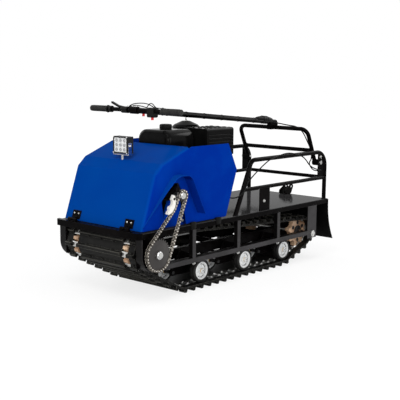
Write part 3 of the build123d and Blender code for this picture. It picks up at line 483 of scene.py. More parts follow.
def turnedPart(name, profile, steps=24, capped=True):
    bm = bmesh.new()
    addTurned(bm, profile, steps, capped)
    return template(meshOf(bm, name))


def slabPart(name, outline, near, far, bevel=0.0, rounds=2):
    bm = bmesh.new()
    addSlab(bm, outline, near, far)
    return template(meshOf(bm, name, bevel, rounds))


def facing(place, normal, roll=0.0):
    # spot whose part stands with its Z along the normal
    turn = Vector(normal).to_track_quat("Z", "Y") @ Quaternion((0, 0, 1), roll)
    return place, turn.to_euler()


def inPlane(x, y, z, angle):
    # spot turned in the side view, its X along the angle
    return (x, y, z), (0.0, -angle, 0.0)


placeInputs = {"Points": "Geometry", "Part": "Object", "Size": "Float", "Spin": "Float", "Seed": "Int",
               "Finish": "Material"}


def makePlaceTree():
    tree = bpy.data.node_groups.new("placeParts", "GeometryNodeTree")
    for name, kind in placeInputs.items():
        tree.interface.new_socket(name, in_out="INPUT", socket_type="NodeSocket" + kind)
    tree.interface.new_socket("Pieces", in_out="OUTPUT", socket_type="NodeSocketGeometry")
    board = Board(tree)
    points, part, size, spin, seed, finish = (board.node("NodeGroupInput", out=name) for name in placeInputs)
    shape = board.node("GeometryNodeObjectInfo", {}, {"Object": part}, out="Geometry")
    turn = board.node("GeometryNodeInputNamedAttribute", {"data_type": "FLOAT_VECTOR"}, {"Name": "turn"},
                      out="Attribute")
    turned = board.node("FunctionNodeEulerToRotation", {}, {0: turn})
    chance = board.node("FunctionNodeRandomValue", {"data_type": "FLOAT"}, {3: spin, "Seed": seed}, out=1)
    own = board.node("ShaderNodeCombineXYZ", {}, {"Z": chance})
    ownTurn = board.node("FunctionNodeEulerToRotation", {}, {0: own})
    both = board.node("FunctionNodeRotateRotation", {"rotation_space": "LOCAL"}, {0: turned, 1: ownTurn})
    placed = board.node("GeometryNodeInstanceOnPoints", {},
                        {"Points": points, "Instance": shape, "Rotation": both, "Scale": size})
    real = board.node("GeometryNodeRealizeInstances", {}, {0: placed})
    paint = board.node("GeometryNodeSetMaterial", {}, {"Geometry": real, "Material": finish})
    end = tree.nodes.new("NodeGroupOutput")
    board.plug(end.inputs["Pieces"], paint)
    return tree


placeTree = makePlaceTree()
placeSockets = {item.name: item.identifier for item in placeTree.interface.items_tree
                if item.in_out == "INPUT"}


def spread(part, finish, spots, size=1.0, spin=0.0, seed=7):
    # one plain mesh with the part at every spot
    points = bpy.data.meshes.new("spots")
    points.from_pydata([spot[0] for spot in spots], [], [])
    turns = points.attributes.new("turn", "FLOAT_VECTOR", "POINT")
    for value, spot in zip(turns.data, spots):
        value.vector = spot[1]
    host = addObject("spots", points)
    modifier = host.modifiers.new("place", "NODES")
    modifier.node_group = placeTree
    for name, value in (("Part", part), ("Size", size), ("Spin", spin), ("Seed", seed),
                        ("Finish", finishes[finish])):
        modifier[placeSockets[name]] = value
    graph = bpy.context.evaluated_depsgraph_get()
    mesh = bpy.data.meshes.new_from_object(host.evaluated_get(graph), depsgraph=graph)
    host.modifiers.clear()
    bpy.data.objects.remove(host)
    return mesh


def painted(mesh, finish):
    mesh.materials.clear()
    mesh.materials.append(finishes[finish])
    return mesh


def piece(name, meshes, body, slot, *replaced):
    whole = bmesh.new()
    paints = []
    for mesh in meshes:
        done = len(whole.faces)
        whole.from_mesh(mesh)
        whole.faces.ensure_lookup_table()
        for face in whole.faces[done:]:
            paint = mesh.materials[face.material_index]
            if paint not in paints:
                paints.append(paint)
            face.material_index = paints.index(paint)
    mesh = bpy.data.meshes.new(name)
    whole.to_mesh(mesh)
    whole.free()
    for paint in paints:
        mesh.materials.append(paint)
    made = addObject(name, mesh)
    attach(made, body)
    if replaced:
        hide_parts(*replaced)


# paths of the chain and the track

def wrapPath(circles):
    # closed path round circles of x, z, radius and turn, as a function of the run along it
    bridges = []
    for a, b in zip(circles, circles[1:] + circles[:1]):
        reach = hypot(b[0] - a[0], b[1] - a[1])
        heading = atan2(b[1] - a[1], b[0] - a[0]) + asin((a[3] * a[2] - b[3] * b[2]) / reach)
        side = Vector((sin(heading), -cos(heading)))
        bridges.append((Vector(a[:2]) + a[3] * a[2] * side, Vector(b[:2]) + b[3] * b[2] * side, heading))
    runs = []
    for i, (x, z, radius, turn) in enumerate(circles):
        middle = Vector((x, z))
        start, end = bridges[i - 1][1] - middle, bridges[i][0] - middle
        first = atan2(start.y, start.x)
        sweep = (turn * (atan2(end.y, end.x) - first)) % (2 * pi)
        runs.append(("arc", radius * sweep, middle, radius, first, turn))
        runs.append(("line", (bridges[i][1] - bridges[i][0]).length, *bridges[i], 0))

    def along(run):
        run %= sum(item[1] for item in runs)
        for kind, length, a, b, c, turn in runs:
            if run <= length:
                break
            run -= length
        if kind == "line":
            return a + (b - a) * run / length, c - pi / 2
        angle = c + turn * run / b
        return a + b * Vector((cos(angle), sin(angle))), angle + (0 if turn > 0 else pi)

    return along


# X and Z of shafts and handlebar

places = {"drive": (731, 257), "idler": (-618.5635, 173), "jackshaft": (559, 531), "bar": (570, 940)}


# drive chain

chainDims = {"pitch": 15.875, "links": 62, "y": 328, "height": 14.4, "waist": 10.6, "gap": 9.4, "plate": 2.0,
             "roller": 5.0, "pin": 3.1, "pinEnd": 10.4, "bevel": 0.4, "endSteps": 8,
             "wheels": [(*places["drive"], 78.3236, 1), (679.010, 509.447, 70, -1),
                        (*places["jackshaft"], 25.2657, 1)]}


def linkPlate(half):
    tall, waist, steps = chainDims["height"] / 2, chainDims["waist"] / 2, chainDims["endSteps"]
    outline = []
    for side in (1, -1):
        for i in range(steps + 1):
            t = side * pi / 2 - pi * i / steps
            outline.append((side * half + tall * cos(t), tall * sin(t)))
        outline.append((0, -side * waist))
    return outline


def roundBar(x, radius, steps):
    turns = [2 * pi * i / steps for i in range(steps)]
    return [(x + radius * cos(t), radius * sin(t)) for t in turns]


def makeChain():
    d = chainDims
    along = wrapPath(d["wheels"])
    joints = [along(i * d["pitch"])[0] for i in range(d["links"])]
    spots = []
    for a, b in zip(joints, joints[1:] + joints[:1]):
        middle = (a + b) / 2
        spots.append(inPlane(*mm(middle.x, d["y"], middle.y), atan2(b.y - a.y, b.x - a.x)))
    inner, outer, rollers, pins = (bmesh.new() for _ in range(4))
    half, inside = d["pitch"] / 2, d["gap"] / 2
    seam = inside + d["plate"]
    plate = linkPlate(half)
    for side in (-1, 1):
        addSlab(inner, plate, side * inside, side * seam)
        addSlab(outer, plate, side * seam, side * (seam + d["plate"]))
        addSlab(pins, roundBar(side * half, d["pin"], steps=8), -d["pinEnd"], d["pinEnd"])
        addSlab(rollers, roundBar(side * half, d["roller"], steps=12), -inside, inside)
    meshes = []
    # outer plates and rollers wear the darker painted shade
    for bm, name, bevel, finish, first in ((inner, "innerLink", d["bevel"], "chainSteel", 0),
                                           (outer, "outerLink", d["bevel"], "chainDark", 1),
                                           (rollers, "linkRollers", 0.0, "rollerSteel", 0),
                                           (pins, "linkPins", d["bevel"], "pinSteel", 1)):
        meshes.append(spread(template(meshOf(bm, name, bevel, rounds=1)), finish, spots[first::2]))
    piece("chainLinks", meshes, "chassis", "chain_steel", "chain")


makeChain()
print("chain made")


# track clips, lug ribs and scuffed lug tips

trackDims = {"pitch": 64, "links": 51,
             "wheels": [(-428, 91.5, 69, 1), (446, 91.5, 69, 1), (*places["drive"], 81.4873, 1),
                        (*places["idler"], 81.4873, 1)]}
clipDims = {"ys": (-185, 185), "half": 19.5, "hornInner": 14.5, "bevel": 1.1,
            "outline": ((-6.2, -14.2), (-6.2, 14.2), (4.6, 15.0), (7.0, 12.4), (8.2, 6.5), (8.6, 0),
                        (8.2, -6.5), (7.0, -12.4), (4.6, -15.0)),
            "horn": ((-6, -9), (-12, -5), (-12, 5), (-6, 9))}
ribDims = {"ys": (-92, 0, 92, -229, 229), "half": 5, "bevel": 0.8,
           "outline": ((4.5, -13.2), (4.5, -17), (7.5, -17), (17, -10.6), (17, -6.5))}
tipDims = {"outline": ((16.5, 8.6), (17.5, 10.4), (20.5, 9.6), (22.3, 7.6), (22.3, 6.9)), "bevel": 0.5,
           "spans": ((-249, -208), (-162, 162), (208, 249))}


def makeTrackTrim():
    clip, rib, tips = (bmesh.new() for _ in range(3))
    addSlab(clip, clipDims["outline"], -clipDims["half"], clipDims["half"])
    for side in (-1, 1):
        addSlab(clip, clipDims["horn"], side * clipDims["half"], side * clipDims["hornInner"])
    for side in (1, -1):
        addSlab(rib, scaled(ribDims["outline"], z=side), -ribDims["half"], ribDims["half"])
        for span in tipDims["spans"]:
            addSlab(tips, scaled(tipDims["outline"], z=side), *span)
    clipPart = template(meshOf(clip, "trackClip", clipDims["bevel"]))
    ribPart = template(meshOf(rib, "lugRib", ribDims["bevel"], rounds=1))
    tipPart = template(meshOf(tips, "lugTips", tipDims["bevel"], rounds=1))
    along = wrapPath(trackDims["wheels"])
    clips, ribs, lugs = [], [], []
    for i in range(trackDims["links"]):
        place, angle = along(i * trackDims["pitch"])
        for spots, ys in ((clips, clipDims["ys"]), (ribs, ribDims["ys"]), (lugs, (0,))):
            spots += [inPlane(*mm(place.x, y, place.y), angle) for y in ys]
    piece("trackClips", [spread(clipPart, "zincSteel", clips)], "chassis", "zinc_steel")
    piece("trackLugRibs", [spread(ribPart, "trackRubber", ribs)], "chassis", "track_rubber")
    piece("trackLugTips", [spread(tipPart, "scuffedRubber", lugs)], "chassis", "track_rubber")


makeTrackTrim()
print("track clips and lug ribs made")


# road wheels

wheelDims = {"z": 91.5, "outer": [(306, 219), (-61, 219), (-428, 219)],
             "inner": [(446, 79), (79, 79), (-288, 79)],
             "disc": ((9.3, 17), (15.5, 17), (17, 15.4), (18.5, 7.5), (37, 6.5), (39, 14.5), (40.6, 17.4),
                      (46, 17.4), (47.8, 15.8)),
             "tyre": ((47.9, 16.6), (51, 17.8), (57.5, 17.7), (61.2, 15.8), (63.2, 12), (63.7, 7),
                      (63.7, 2.2), (62.4, 1.4)),
             "cap": ((12.2, 16.6), (12.2, 21.5), (11.4, 24.6), (9.6, 26.2), (4.6, 26.6), (3.4, 25.6)),
             # dark ring of painted shade in the crease where the disc face meets the rim
             "paintedShadeRing": ((33.8, 6.2), (36.6, 6.2), (36.6, 7.8), (33.8, 7.6)),
             "hub": ((13.5, 16.5), (13.5, 18.6), (12.2, 19.4), (9.4, 19.4), (9.4, 16.5)),
             "ribs": 6, "ribPhase": 0.25, "ribHalf": 2, "ribBevel": 0.7,
             "rib": ((17, 6.5), (38.5, 6.0), (38.8, 13.2), (27, 12.2), (17, 15))}


def bothFaces(half):
    # ring profile from the half that stands above the middle
    below = scaled(half[::-1], z=-1)
    return [below[-1], *half, *below[:-1]]


def makeWheels():
    d = wheelDims
    # painted shade: a dark ring in the crease inside each wheel rim
    paintedShadeRing = bmesh.new()
    for side in (-1, 1):
        addTurned(paintedShadeRing, scaled(d["paintedShadeRing"], z=side), steps=40, capped=False)
    paintedShadeRingPart = template(meshOf(paintedShadeRing, "rimGroove"))
    discPart = turnedPart("wheelDisc", bothFaces(d["disc"]), steps=40, capped=False)
    tyrePart = turnedPart("wheelTyre", bothFaces(d["tyre"]), steps=48, capped=False)
    ribPart = slabPart("wheelRib", d["rib"], -d["ribHalf"], d["ribHalf"], d["ribBevel"], rounds=1)
    hubPart = turnedPart("hubRing", d["hub"], capped=False)
    capPart = turnedPart("axleCap", d["cap"])
    spots, ribSpots = [], []
    for x, y in d["outer"] + d["inner"]:
        for side in (-1, 1):
            place = mm(x, side * y, d["z"])
            spots.append(facing(place, (0, side, 0)))
            ribSpots += [facing(place, (0, face, 0), 2 * pi * (k + d["ribPhase"]) / d["ribs"])
                         for face in (-1, 1) for k in range(d["ribs"])]
    # the discs carry the dark ring of painted shade in castDark
    piece("roadWheelDiscs", [spread(discPart, "wheelWhite", spots), spread(ribPart, "wheelWhite", ribSpots),
                             spread(paintedShadeRingPart, "castDark", spots)], "chassis", "wheel_white", "wheel_discs")
    piece("roadWheelTyres", [spread(tyrePart, "wheelRubber", spots)],
          "chassis", "wheel_rubber", "wheel_tyres")
    outerSpots = spots[:2 * len(d["outer"])]
    piece("roadWheelHubs", [spread(hubPart, "brassHub", spots), spread(capPart, "wheelWhite", outerSpots)],
          "chassis", "zinc_steel")


makeWheels()
print("road wheels made")


# side plates of the toothed track wheels

trackWheelDims = {"y": 200, "pockets": 6, "pocketAt": 54, "pocketPhase": 0.5,
                  "plate": ((15.5, 0), (36, 0), (36, 2.6), (33.5, 4.4), (24, 4.8), (21, 8), (15.5, 8)),
                  # pocket: dark disc of painted shade standing for a hole in the sprocket side
                  "pocket": ((12.5, 0), (12.5, 1.0), (10.6, 1.2), (9.4, 0.25))}


def makeTrackWheels():
    d = trackWheelDims
    platePart = turnedPart("hubPlate", d["plate"], steps=36, capped=False)
    # painted shade: dark discs on the sprocket sides for the shade inside their pockets
    pocketShadePart = turnedPart("wheelPocket", d["pocket"], steps=20)
    plates, pockets = [], []
    for x, z in (places["drive"], places["idler"]):
        for side in (-1, 1):
            plates.append(facing(mm(x, side * d["y"], z), (0, side, 0)))
            for k in range(d["pockets"]):
                t = 2 * pi * (k + d["pocketPhase"]) / d["pockets"]
                middle = (x + d["pocketAt"] * cos(t), side * d["y"], z + d["pocketAt"] * sin(t))
                pockets.append(facing(mm(*middle), (0, side, 0)))
    piece("trackWheelHubs", [spread(platePart, "castDark", plates), spread(pocketShadePart, "castDark", pockets)],
          "chassis", "sprocket_steel")


makeTrackWheels()
print("track wheel hubs made")


# bolts, nuts and screws

driveX, driveZ = places["drive"]
bearing = {"radius": 33, "y": 279, "turns": [pi / 4 + i * pi / 2 for i in range(4)]}
bogieXs = (376, 9, -358)
fixings = {
    # size and body, then spots of place and outward direction
    "chassisBolts": (0.9, "chassis",
                     [((x, side * 295, z), (0, side, 0)) for x, z in ((-149, 423), (-704, 632))
                      for side in (-1, 1)]
                     + [((x, 268, 392), (0, 1, 0)) for x in (497, 621)]),
    "bearingBolts": (0.75, "chassis",
                     [((driveX + bearing["radius"] * cos(t), side * bearing["y"],
                        driveZ + bearing["radius"] * sin(t)), (0, side, 0))
                      for side in (-1, 1) for t in bearing["turns"]]),
    "bogieBolts": (1.15, "chassis",
                   [((x + 10, side * 248, 149), (0, side, 0)) for side in (-1, 1) for x in bogieXs]),
    "hingeBolts": (0.48, "cowl",
                   [((798.1, y, 410.4), (0.946, 0, 0.3235)) for y in (-210, -180, 180, 210)]),
    "lampBolts": (0.75, "cowl", [((655, side * 55, 764), (0, side, 0)) for side in (-1, 1)]),
    "handleBolts": (0.6, "handle",
                    [((570, y, 958.4), (0, 0, 1)) for y in (-15, 15)]
                    + [((570, -53, 956), (0, 0, 1)), ((552, 128, 950), (-1, 0, 0))]),
}
screwRows = {
    # body, slot and finish, then spots of place and outward direction
    "guardScrews": ("chassis", "engine_black", "castDark",
                    [((x, y, 838), (0, 0, 1)) for x in (14, 206) for y in (40, 170)]),
    "lampScrews": ("cowl", "zinc_steel", "zincSteel",
                   [((673.4, y, z), (1, 0, 0)) for y in (-48.6, 48.6) for z in (728.4, 807.6)]),
}
boltDims = {"washer": ((9.5, 0), (9.5, 1.2), (9.0, 1.7), (4, 1.7)),
            "head": ((7.4, 1.7), (7.4, 6.0), (6.3, 7.2)),
            "stud": ((3.9, 7.2), (3.9, 9.0), (3.2, 9.8)), "screwSize": 0.75, "screwSeed": 20,
            "screw": ((5.4, 0), (5.4, 0.9), (4.6, 2.0), (2.6, 2.6), (2.2, 2.4), (2.0, 1.0))}
bogieEar = {"outline": ((-19, 196), (17, 196), (24, 152), (18, 138), (4, 138), (-8, 160)), "y": (240, 248),
            "bevel": 1.2}


def makeFixings():
    bolt = bmesh.new()
    for profile, steps in (("washer", 20), ("head", 6), ("stud", 12)):
        addTurned(bolt, boltDims[profile], steps)
    boltPart = template(meshOf(bolt, "boltHead"))
    screwPart = turnedPart("screwHead", boltDims["screw"], steps=16)
    for seed, (name, (size, body, spots)) in enumerate(fixings.items()):
        turned = [facing(mm(*place), normal) for place, normal in spots]
        piece(name, [spread(boltPart, "zincSteel", turned, size, spin=pi, seed=seed)], body, "zinc_steel")
    for seed, (name, (body, slot, finish, spots)) in enumerate(screwRows.items(), boltDims["screwSeed"]):
        turned = [facing(mm(*place), normal) for place, normal in spots]
        screws = spread(screwPart, finish, turned, boltDims["screwSize"], spin=pi, seed=seed)
        piece(name, [screws], body, slot)
    near, far = bogieEar["y"]
    earPart = slabPart("bogieEar", bogieEar["outline"], near, far, bogieEar["bevel"])
    spots = [(mm(x, y, 0), (0, 0, 0)) for x in bogieXs for y in (0, -near - far)]
    piece("bogieEars", [spread(earPart, "frameBlack", spots)], "chassis", "frame_black")


makeFixings()
print("bolts and screws made")


# hub washers on the sprockets

hubDims = {
    # place of the shaft, Y and profile
    "large": (places["drive"], 338, ((15.2, 0), (20, 0), (20, 2.4), (18.6, 3.6), (16.8, 3.8), (15.2, 5.6))),
    "small": (places["jackshaft"], 332,
              ((12.2, 0), (16.5, 0), (16.5, 2.2), (15.4, 3.2), (13.6, 3.4), (12.2, 4.8))),
}


def makeHubs():
    meshes = []
    for name, ((x, z), y, profile) in hubDims.items():
        part = turnedPart(name + "Hub", profile, steps=32, capped=False)
        meshes.append(spread(part, "chromeSteel", [facing(mm(x, y, z), (0, 1, 0))]))
    piece("sprocketHubs", meshes, "chassis", "zinc_steel")


makeHubs()
print("hub washers made")


# grips

gripDims = {"inner": 198, "firstRib": 214, "ribs": 17, "step": 6.2,
            "body": ((11, 0), (19.5, 0), (20, 1.5), (19.4, 3.6), (15.6, 5.4), (14.8, 9), (14.8, 122),
                     (15.6, 126), (15.2, 129), (13, 129.8)),
            "rib": ((14.4, -2.1), (15.6, -1.6), (16.3, -0.7), (16.3, 0.7), (15.6, 1.6), (14.4, 2.1))}


def makeGrips():
    d = gripDims
    x, z = places["bar"]
    bodyPart = turnedPart("gripBody", d["body"], steps=32)
    ribPart = turnedPart("gripRib", d["rib"], steps=32, capped=False)
    ends = [facing(mm(x, side * d["inner"], z), (0, side, 0)) for side in (-1, 1)]
    ribs = [facing(mm(x, side * (d["firstRib"] + i * d["step"]), z), (0, side, 0))
            for side in (-1, 1) for i in range(d["ribs"])]
    piece("ribbedGrips", [spread(bodyPart, "gripRubber", ends), spread(ribPart, "gripRubber", ribs)],
          "handle", "grip_rubber", "grips")


makeGrips()
print("grips made")


# work lamp

lampDims = {"x": 672, "lensX": 670, "z": 768, "half": (52, 43), "open": (45.6, 36.6), "corners": (5, 3),
            "rim": (-1.5, 1.4), "bevel": 0.6, "cupYs": (-28, 0, 28), "cupZs": (-23, 0, 23),
            "cup": ((8.6, 0), (8.6, 1.2), (7.8, 1.3), (3.6, 0.4), (3.0, 1.1), (1.8, 1.5))}


def roundedLoop(half, corner, count=5):
    points = []
    wide, tall = half[0] - corner, half[1] - corner
    for k, (sideY, sideZ) in enumerate(((1, 1), (-1, 1), (-1, -1), (1, -1))):
        for i in range(count):
            t = pi / 2 * (k + i / (count - 1))
            points.append((sideY * wide + corner * cos(t), sideZ * tall + corner * sin(t)))
    return points


def makeLamp():
    d = lampDims
    bezel = bmesh.new()
    outer, inner = (roundedLoop(half, corner) for half, corner in zip((d["half"], d["open"]), d["corners"]))
    low, high = d["rim"]
    loops = [[bezel.verts.new(mm(d["x"] + height, a, d["z"] + b)) for a, b in loop]
             for loop, height in ((outer, low), (outer, high), (inner, high), (inner, low))]
    addLoft(bezel, loops, capped=False)
    piece("lampBezel", [painted(meshOf(bezel, "bezel", d["bevel"]), "lampBlack")], "cowl", "lamp_black")
    cupPart = turnedPart("ledCup", d["cup"])
    spots = [facing(mm(d["lensX"], y, d["z"] + z), (1, 0, 0)) for y in d["cupYs"] for z in d["cupZs"]]
    piece("lampCups", [spread(cupPart, "ledGrey", spots)], "cowl", "lens_clear")


makeLamp()
print("work lamp made")


# engine trim

tankDims = {"rear": 240, "front": 440, "half": 118, "low": 690, "high": 833, "round": 52, "frontRound": 26,
            "rearRound": 12, "roundSteps": 6, "cornerSteps": 10, "cap": (340, 0, 833), "capRibs": 22,
            "capRib": ((32, 3), (33.6, 5), (33.6, 20), (32, 22)), "capRibHalf": 1.6, "capBevel": 0.6,
            "capBody": ((31, -2), (32.4, 1), (32.4, 22.5), (30.5, 25.4), (25, 26.6), (24, 25.2), (12, 25.2))}
louvreDims = {"outline": ((-14, 0), (14, 0), (12.5, 2.4), (6, 3.6), (-6, 3.6), (-12.5, 2.4)), "half": 4,
              "bevel": 1.4, "xs": (38, 74, 110, 146, 182), "ys": (59, 105, 151), "z": 838}
cleanerDims = {"nutAt": (104, -70, 865), "bandAt": (104, -70, 826), "turn": 0.6, "wingHalf": 1.6,
               "bevel": 0.5, "nut": ((12, 0), (12, 1.5), (8, 2.2), (7.5, 9), (5.5, 11)),
               "wing": ((6, 3), (13, 6), (19, 13), (17.5, 17), (12, 16), (6, 9.5)),
               "band": ((75, 0), (77.6, 0.6), (77.6, 7.4), (75, 8))}


def tankLoops():
    # loops in Y and Z from the tank's rounded rear to its rounded front
    d = tankDims
    steps = [pi / 2 * i / d["roundSteps"] for i in range(d["roundSteps"] + 1)]
    ends = [(d["rear"] + d["rearRound"] * (1 - sin(t)), d["rearRound"] * (1 - cos(t))) for t in steps[::-1]]
    ends += [(d["front"] - d["frontRound"] * (1 - sin(t)), d["frontRound"] * (1 - cos(t))) for t in steps]
    middle, tall = (d["high"] + d["low"]) / 2, (d["high"] - d["low"]) / 2
    for x, inset in ends:
        loop = roundedLoop((d["half"] - inset, tall - inset), d["round"] - inset, d["cornerSteps"])
        yield [mm(x, y, middle + z) for y, z in loop]


def makeEngineTrim():
    d = tankDims
    tank = bmesh.new()
    addLoft(tank, [[tank.verts.new(place) for place in loop] for loop in tankLoops()])
    ribPart = slabPart("capRib", d["capRib"], -d["capRibHalf"], d["capRibHalf"], d["capBevel"], rounds=1)
    capPart = turnedPart("tankCap", d["capBody"], steps=36)
    place = mm(*d["cap"])
    ribs = [(place, (0, 0, 2 * pi * i / d["capRibs"])) for i in range(d["capRibs"])]
    piece("fuelTankShell", [painted(meshOf(tank, "tankShell"), "engineBlack"),
                            spread(capPart, "controlBlack", [(place, (0, 0, 0))]),
                            spread(ribPart, "controlBlack", ribs)], "chassis", "engine_black", "fuel_tank")
    d = louvreDims
    louvrePart = slabPart("guardLouvre", d["outline"], -d["half"], d["half"], d["bevel"])
    louvres = [(mm(x, y, d["z"]), (0, 0, 0)) for x in d["xs"] for y in d["ys"]]
    piece("guardLouvres", [spread(louvrePart, "engineBlack", louvres)], "chassis", "engine_black")
    d = cleanerDims
    nut = bmesh.new()
    addTurned(nut, d["nut"], steps=20)
    for side in (-1, 1):
        addSlab(nut, scaled(d["wing"], x=side), -d["wingHalf"], d["wingHalf"])
    nutPart = template(meshOf(nut, "wingNut", d["bevel"], rounds=1))
    bandPart = turnedPart("lidBand", d["band"], steps=40, capped=False)
    piece("cleanerTrim", [spread(nutPart, "zincSteel", [facing(mm(*d["nutAt"]), (0, 0, 1), d["turn"])]),
                          spread(bandPart, "engineBlack", [facing(mm(*d["bandAt"]), (0, 0, 1))])],
          "chassis", "engine_black")


makeEngineTrim()
print("engine trim made")


# cables, ties and small stops

cableRoutes = {
    # body, diameter, control points in millimetres, node that it stands for
    "throttleCable": ("handle", 5, ((566, 84, 955), (552, 82, 969), (524, 68, 976), (484, 44, 972),
                                    (446, 26, 952), (410, 20, 937), (360, 18.4, 928),
                                    (300, 18.2, 922)), None),
    "brakeCable": ("handle", 5, ((566, -46, 957), (556, -36, 969), (536, -8, 975), (506, 18, 974),
                                 (474, 22, 962), (444, 14, 950), (404, 5, 945.5), (340, 0, 939.5)), None),
    "lampCable": ("handle", 5, ((572, -40, 955.5), (566, -24, 962), (572, 0, 965), (562, 30, 963),
                                (570, 60, 961), (566, 86, 955)), None),
    "columnCable": ("handle", 7, ((551.5, 128, 930), (490, 128, 930), (410, 30, 926), (350, 19.2, 920.3),
                                  (60, 19.2, 893.8), (-240, 19.2, 866.3), (-495, 19.2, 843), (-540, 24, 838),
                                  (-588, 62, 828), (-611, 118, 817.2), (-623, 172, 813), (-642, 206, 780),
                                  (-660, 228, 720), (-690, 236, 668), (-686, 241.4, 634)), "handle_cable"),
    "railCable": ("chassis", 7, ((-690, 308.3, 552), (-589, 308.3, 571), (-520, 308.3, 640),
                                 (-450, 308.3, 664), (-346, 308.3, 683), (-230, 308.3, 664),
                                 (-158, 308.3, 650), (14, 308.3, 552), (40, 308.3, 504), (85, 306, 470),
                                 (118, 262, 460), (112, 200, 500), (112, 120.4, 500)), "rail_cable"),
}
columnLine = {"rear": (-638, 830), "slope": 0.09106}  # X and Z of the rear end, rise along X
tieDims = {"xs": (330, 180, 30, -120, -270, -420), "turn": 0.3, "bevel": 0.5,
           "band": ((14, -2.4), (16.6, -2.4), (16.6, 2.4), (14, 2.4)),
           "lock": ((15.5, -3.4), (20, -3.4), (20, 3.4), (15.5, 3.4)), "lockHalf": 3.5}
wrapDims = {"x": -520, "rise": 8, "turns": (-20, 0, 20), "turnSize": 1.06,
            "profile": ((13, -78), (16, -70), (19, -52), (22.5, -28), (24, -6), (23.5, 14), (21, 36),
                        (17.5, 56), (14, 72), (12, 78)),
            "turn": ((21.5, -1.6), (23.4, -1.2), (23.4, 1.2), (21.5, 1.6))}
stopDims = {"xs": (256, 452), "y": 301.5, "z": 370, "half": 7,
            "bevel": 1.6, "outline": ((-17, -24), (17, -24), (19, -20), (19, 8), (15, 12), (-15, 12),
                                      (-19, 8), (-19, -20))}
loopRoute = ((-686, 241.4, 634), (-682, 244, 612), (-652, 254, 606), (-626, 268, 590), (-626, 288, 562),
             (-650, 304, 549), (-690, 308.3, 552))
loopDiameter = 7
curveRules = {"order": 3, "steps": 8, "rounds": 3}


def drawCable(name, points, diameter, finish):
    # smooth tube and the line that it follows, both read from the route's spline
    data = bpy.data.curves.new(name, "CURVE")
    data.dimensions = "3D"
    spline = data.splines.new("NURBS")
    spline.points.add(len(points) - 1)
    for control, place in zip(spline.points, points):
        control.co = (*mm(*place), 1)
    spline.order_u = curveRules["order"]
    spline.use_endpoint_u = True
    spline.resolution_u = curveRules["steps"]
    route = addObject(name, data)
    meshes = []
    for depth in mm(0, diameter / 2):
        data.bevel_depth = depth
        data.bevel_resolution = curveRules["rounds"]
        data.use_fill_caps = True
        bpy.context.view_layer.update()
        graph = bpy.context.evaluated_depsgraph_get()
        meshes.append(bpy.data.meshes.new_from_object(route.evaluated_get(graph), depsgraph=graph))
    bpy.data.objects.remove(route)
    line, tube = meshes
    tube.shade_smooth()
    cable = addObject(name, painted(tube, finish))
    return cable, [vertex.co.copy() for vertex in line.vertices]


def columnPoint(x, rise=0.0):
    rearX, rearZ = columnLine["rear"]
    return x, 0, rearZ + columnLine["slope"] * (x - rearX) + rise


def makeCables():
    for name, (body, diameter, points, node) in cableRoutes.items():
        cable, line = drawCable(name, points, diameter, "cableBlack")
        length = sum((b - a).length for a, b in zip(line, line[1:]))
        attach(cable, body)
        if node:
            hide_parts(node)
        mm(*points[0])
        diameter / 1000
        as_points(line)


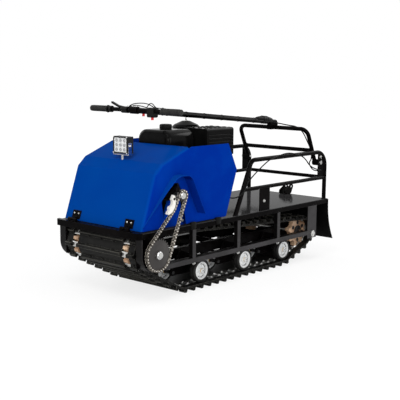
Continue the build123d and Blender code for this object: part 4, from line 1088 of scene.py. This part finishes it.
def makeTies():
    tie = bmesh.new()
    addTurned(tie, tieDims["band"], steps=28, capped=False)
    addSlab(tie, tieDims["lock"], -tieDims["lockHalf"], tieDims["lockHalf"])
    tiePart = template(meshOf(tie, "cableTie", tieDims["bevel"], rounds=1))
    wrapPart = turnedPart("cableWrap", wrapDims["profile"], steps=28)
    turnPart = turnedPart("wrapTurn", wrapDims["turn"], steps=28, capped=False)
    lengthwise = Vector((1, 0, columnLine["slope"])).normalized()
    spots = [facing(mm(*columnPoint(x)), lengthwise, tieDims["turn"]) for x in tieDims["xs"]]
    middle = Vector(columnPoint(wrapDims["x"], wrapDims["rise"]))
    turns = [facing(mm(*(middle + lengthwise * step)), lengthwise) for step in wrapDims["turns"]]
    piece("columnTies", [spread(tiePart, "cableBlack", spots),
                         spread(wrapPart, "cableBlack", [facing(mm(*middle), lengthwise)]),
                         spread(turnPart, "cableBlack", turns, wrapDims["turnSize"])],
          "handle", "cable_black")


def makeStops():
    d = stopDims
    stopPart = slabPart("cowlStop", d["outline"], -d["half"], d["half"], d["bevel"])
    stops = [(mm(x, side * d["y"], d["z"]), (0, 0, 0)) for side in (1, -1) for x in d["xs"]]
    piece("cowlStops", [spread(stopPart, "controlBlack", stops)], "chassis", "grip_rubber")


def makePivotCable():
    loop, _ = drawCable("pivotCable", loopRoute, loopDiameter, "cableBlack")
    mm(*loopRoute[0])
    mm(*loopRoute[-1])
    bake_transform(loop)


makeCables()
makeTies()
makeStops()
makePivotCable()
print("cables and stops made")


# weld beads where tubes meet

weldDims = {"blob": ((1.0, -0.9), (2.3, -0.3), (2.3, 0.6), (1.1, 1.5)), "step": 3.4, "lean": 0.9}
weldRows = {
    # body and seed, then middle, axis and radius of each ring on the left side
    "railWelds": ("chassis", 3, [((-757, 292, 371), (0, 0, 1), 13.2), ((100, 292, 371), (0, 0, 1), 13.6),
                                 ((-744, 292, 502), (-1, 0, 0), 11.6), ((-757, 279, 502), (0, 1, 0), 11.6)]),
    "forkWelds": ("handle", 4, [((-666.9, 245, 670), (0, 1, 0), 12.4)]),
}


def weldRing(middle, axis, radius):
    turn = axis.to_track_quat("Z", "Y")
    count = int(2 * pi * radius / weldDims["step"])
    spots = []
    for i in range(count):
        t = 2 * pi * i / count
        offset = turn @ Vector((radius * cos(t), radius * sin(t), 0))
        spots.append(facing(mm(*(middle + offset)), offset.normalized() + weldDims["lean"] * axis))
    return spots


def makeWelds():
    blobPart = turnedPart("weldBlob", weldDims["blob"], steps=8)
    for name, (body, seed, rings) in weldRows.items():
        spots = []
        for side in (-1, 1):
            for middle, axis, radius in rings:
                middle, axis = (Vector((x, side * y, z)) for x, y, z in (middle, axis))
                spots += weldRing(middle, axis, radius)
        piece(name, [spread(blobPart, "frameBlack", spots, spin=pi, seed=seed)], body, "frame_black")


makeWelds()
print("welds made")

for part in templates:
    bpy.data.objects.remove(part)
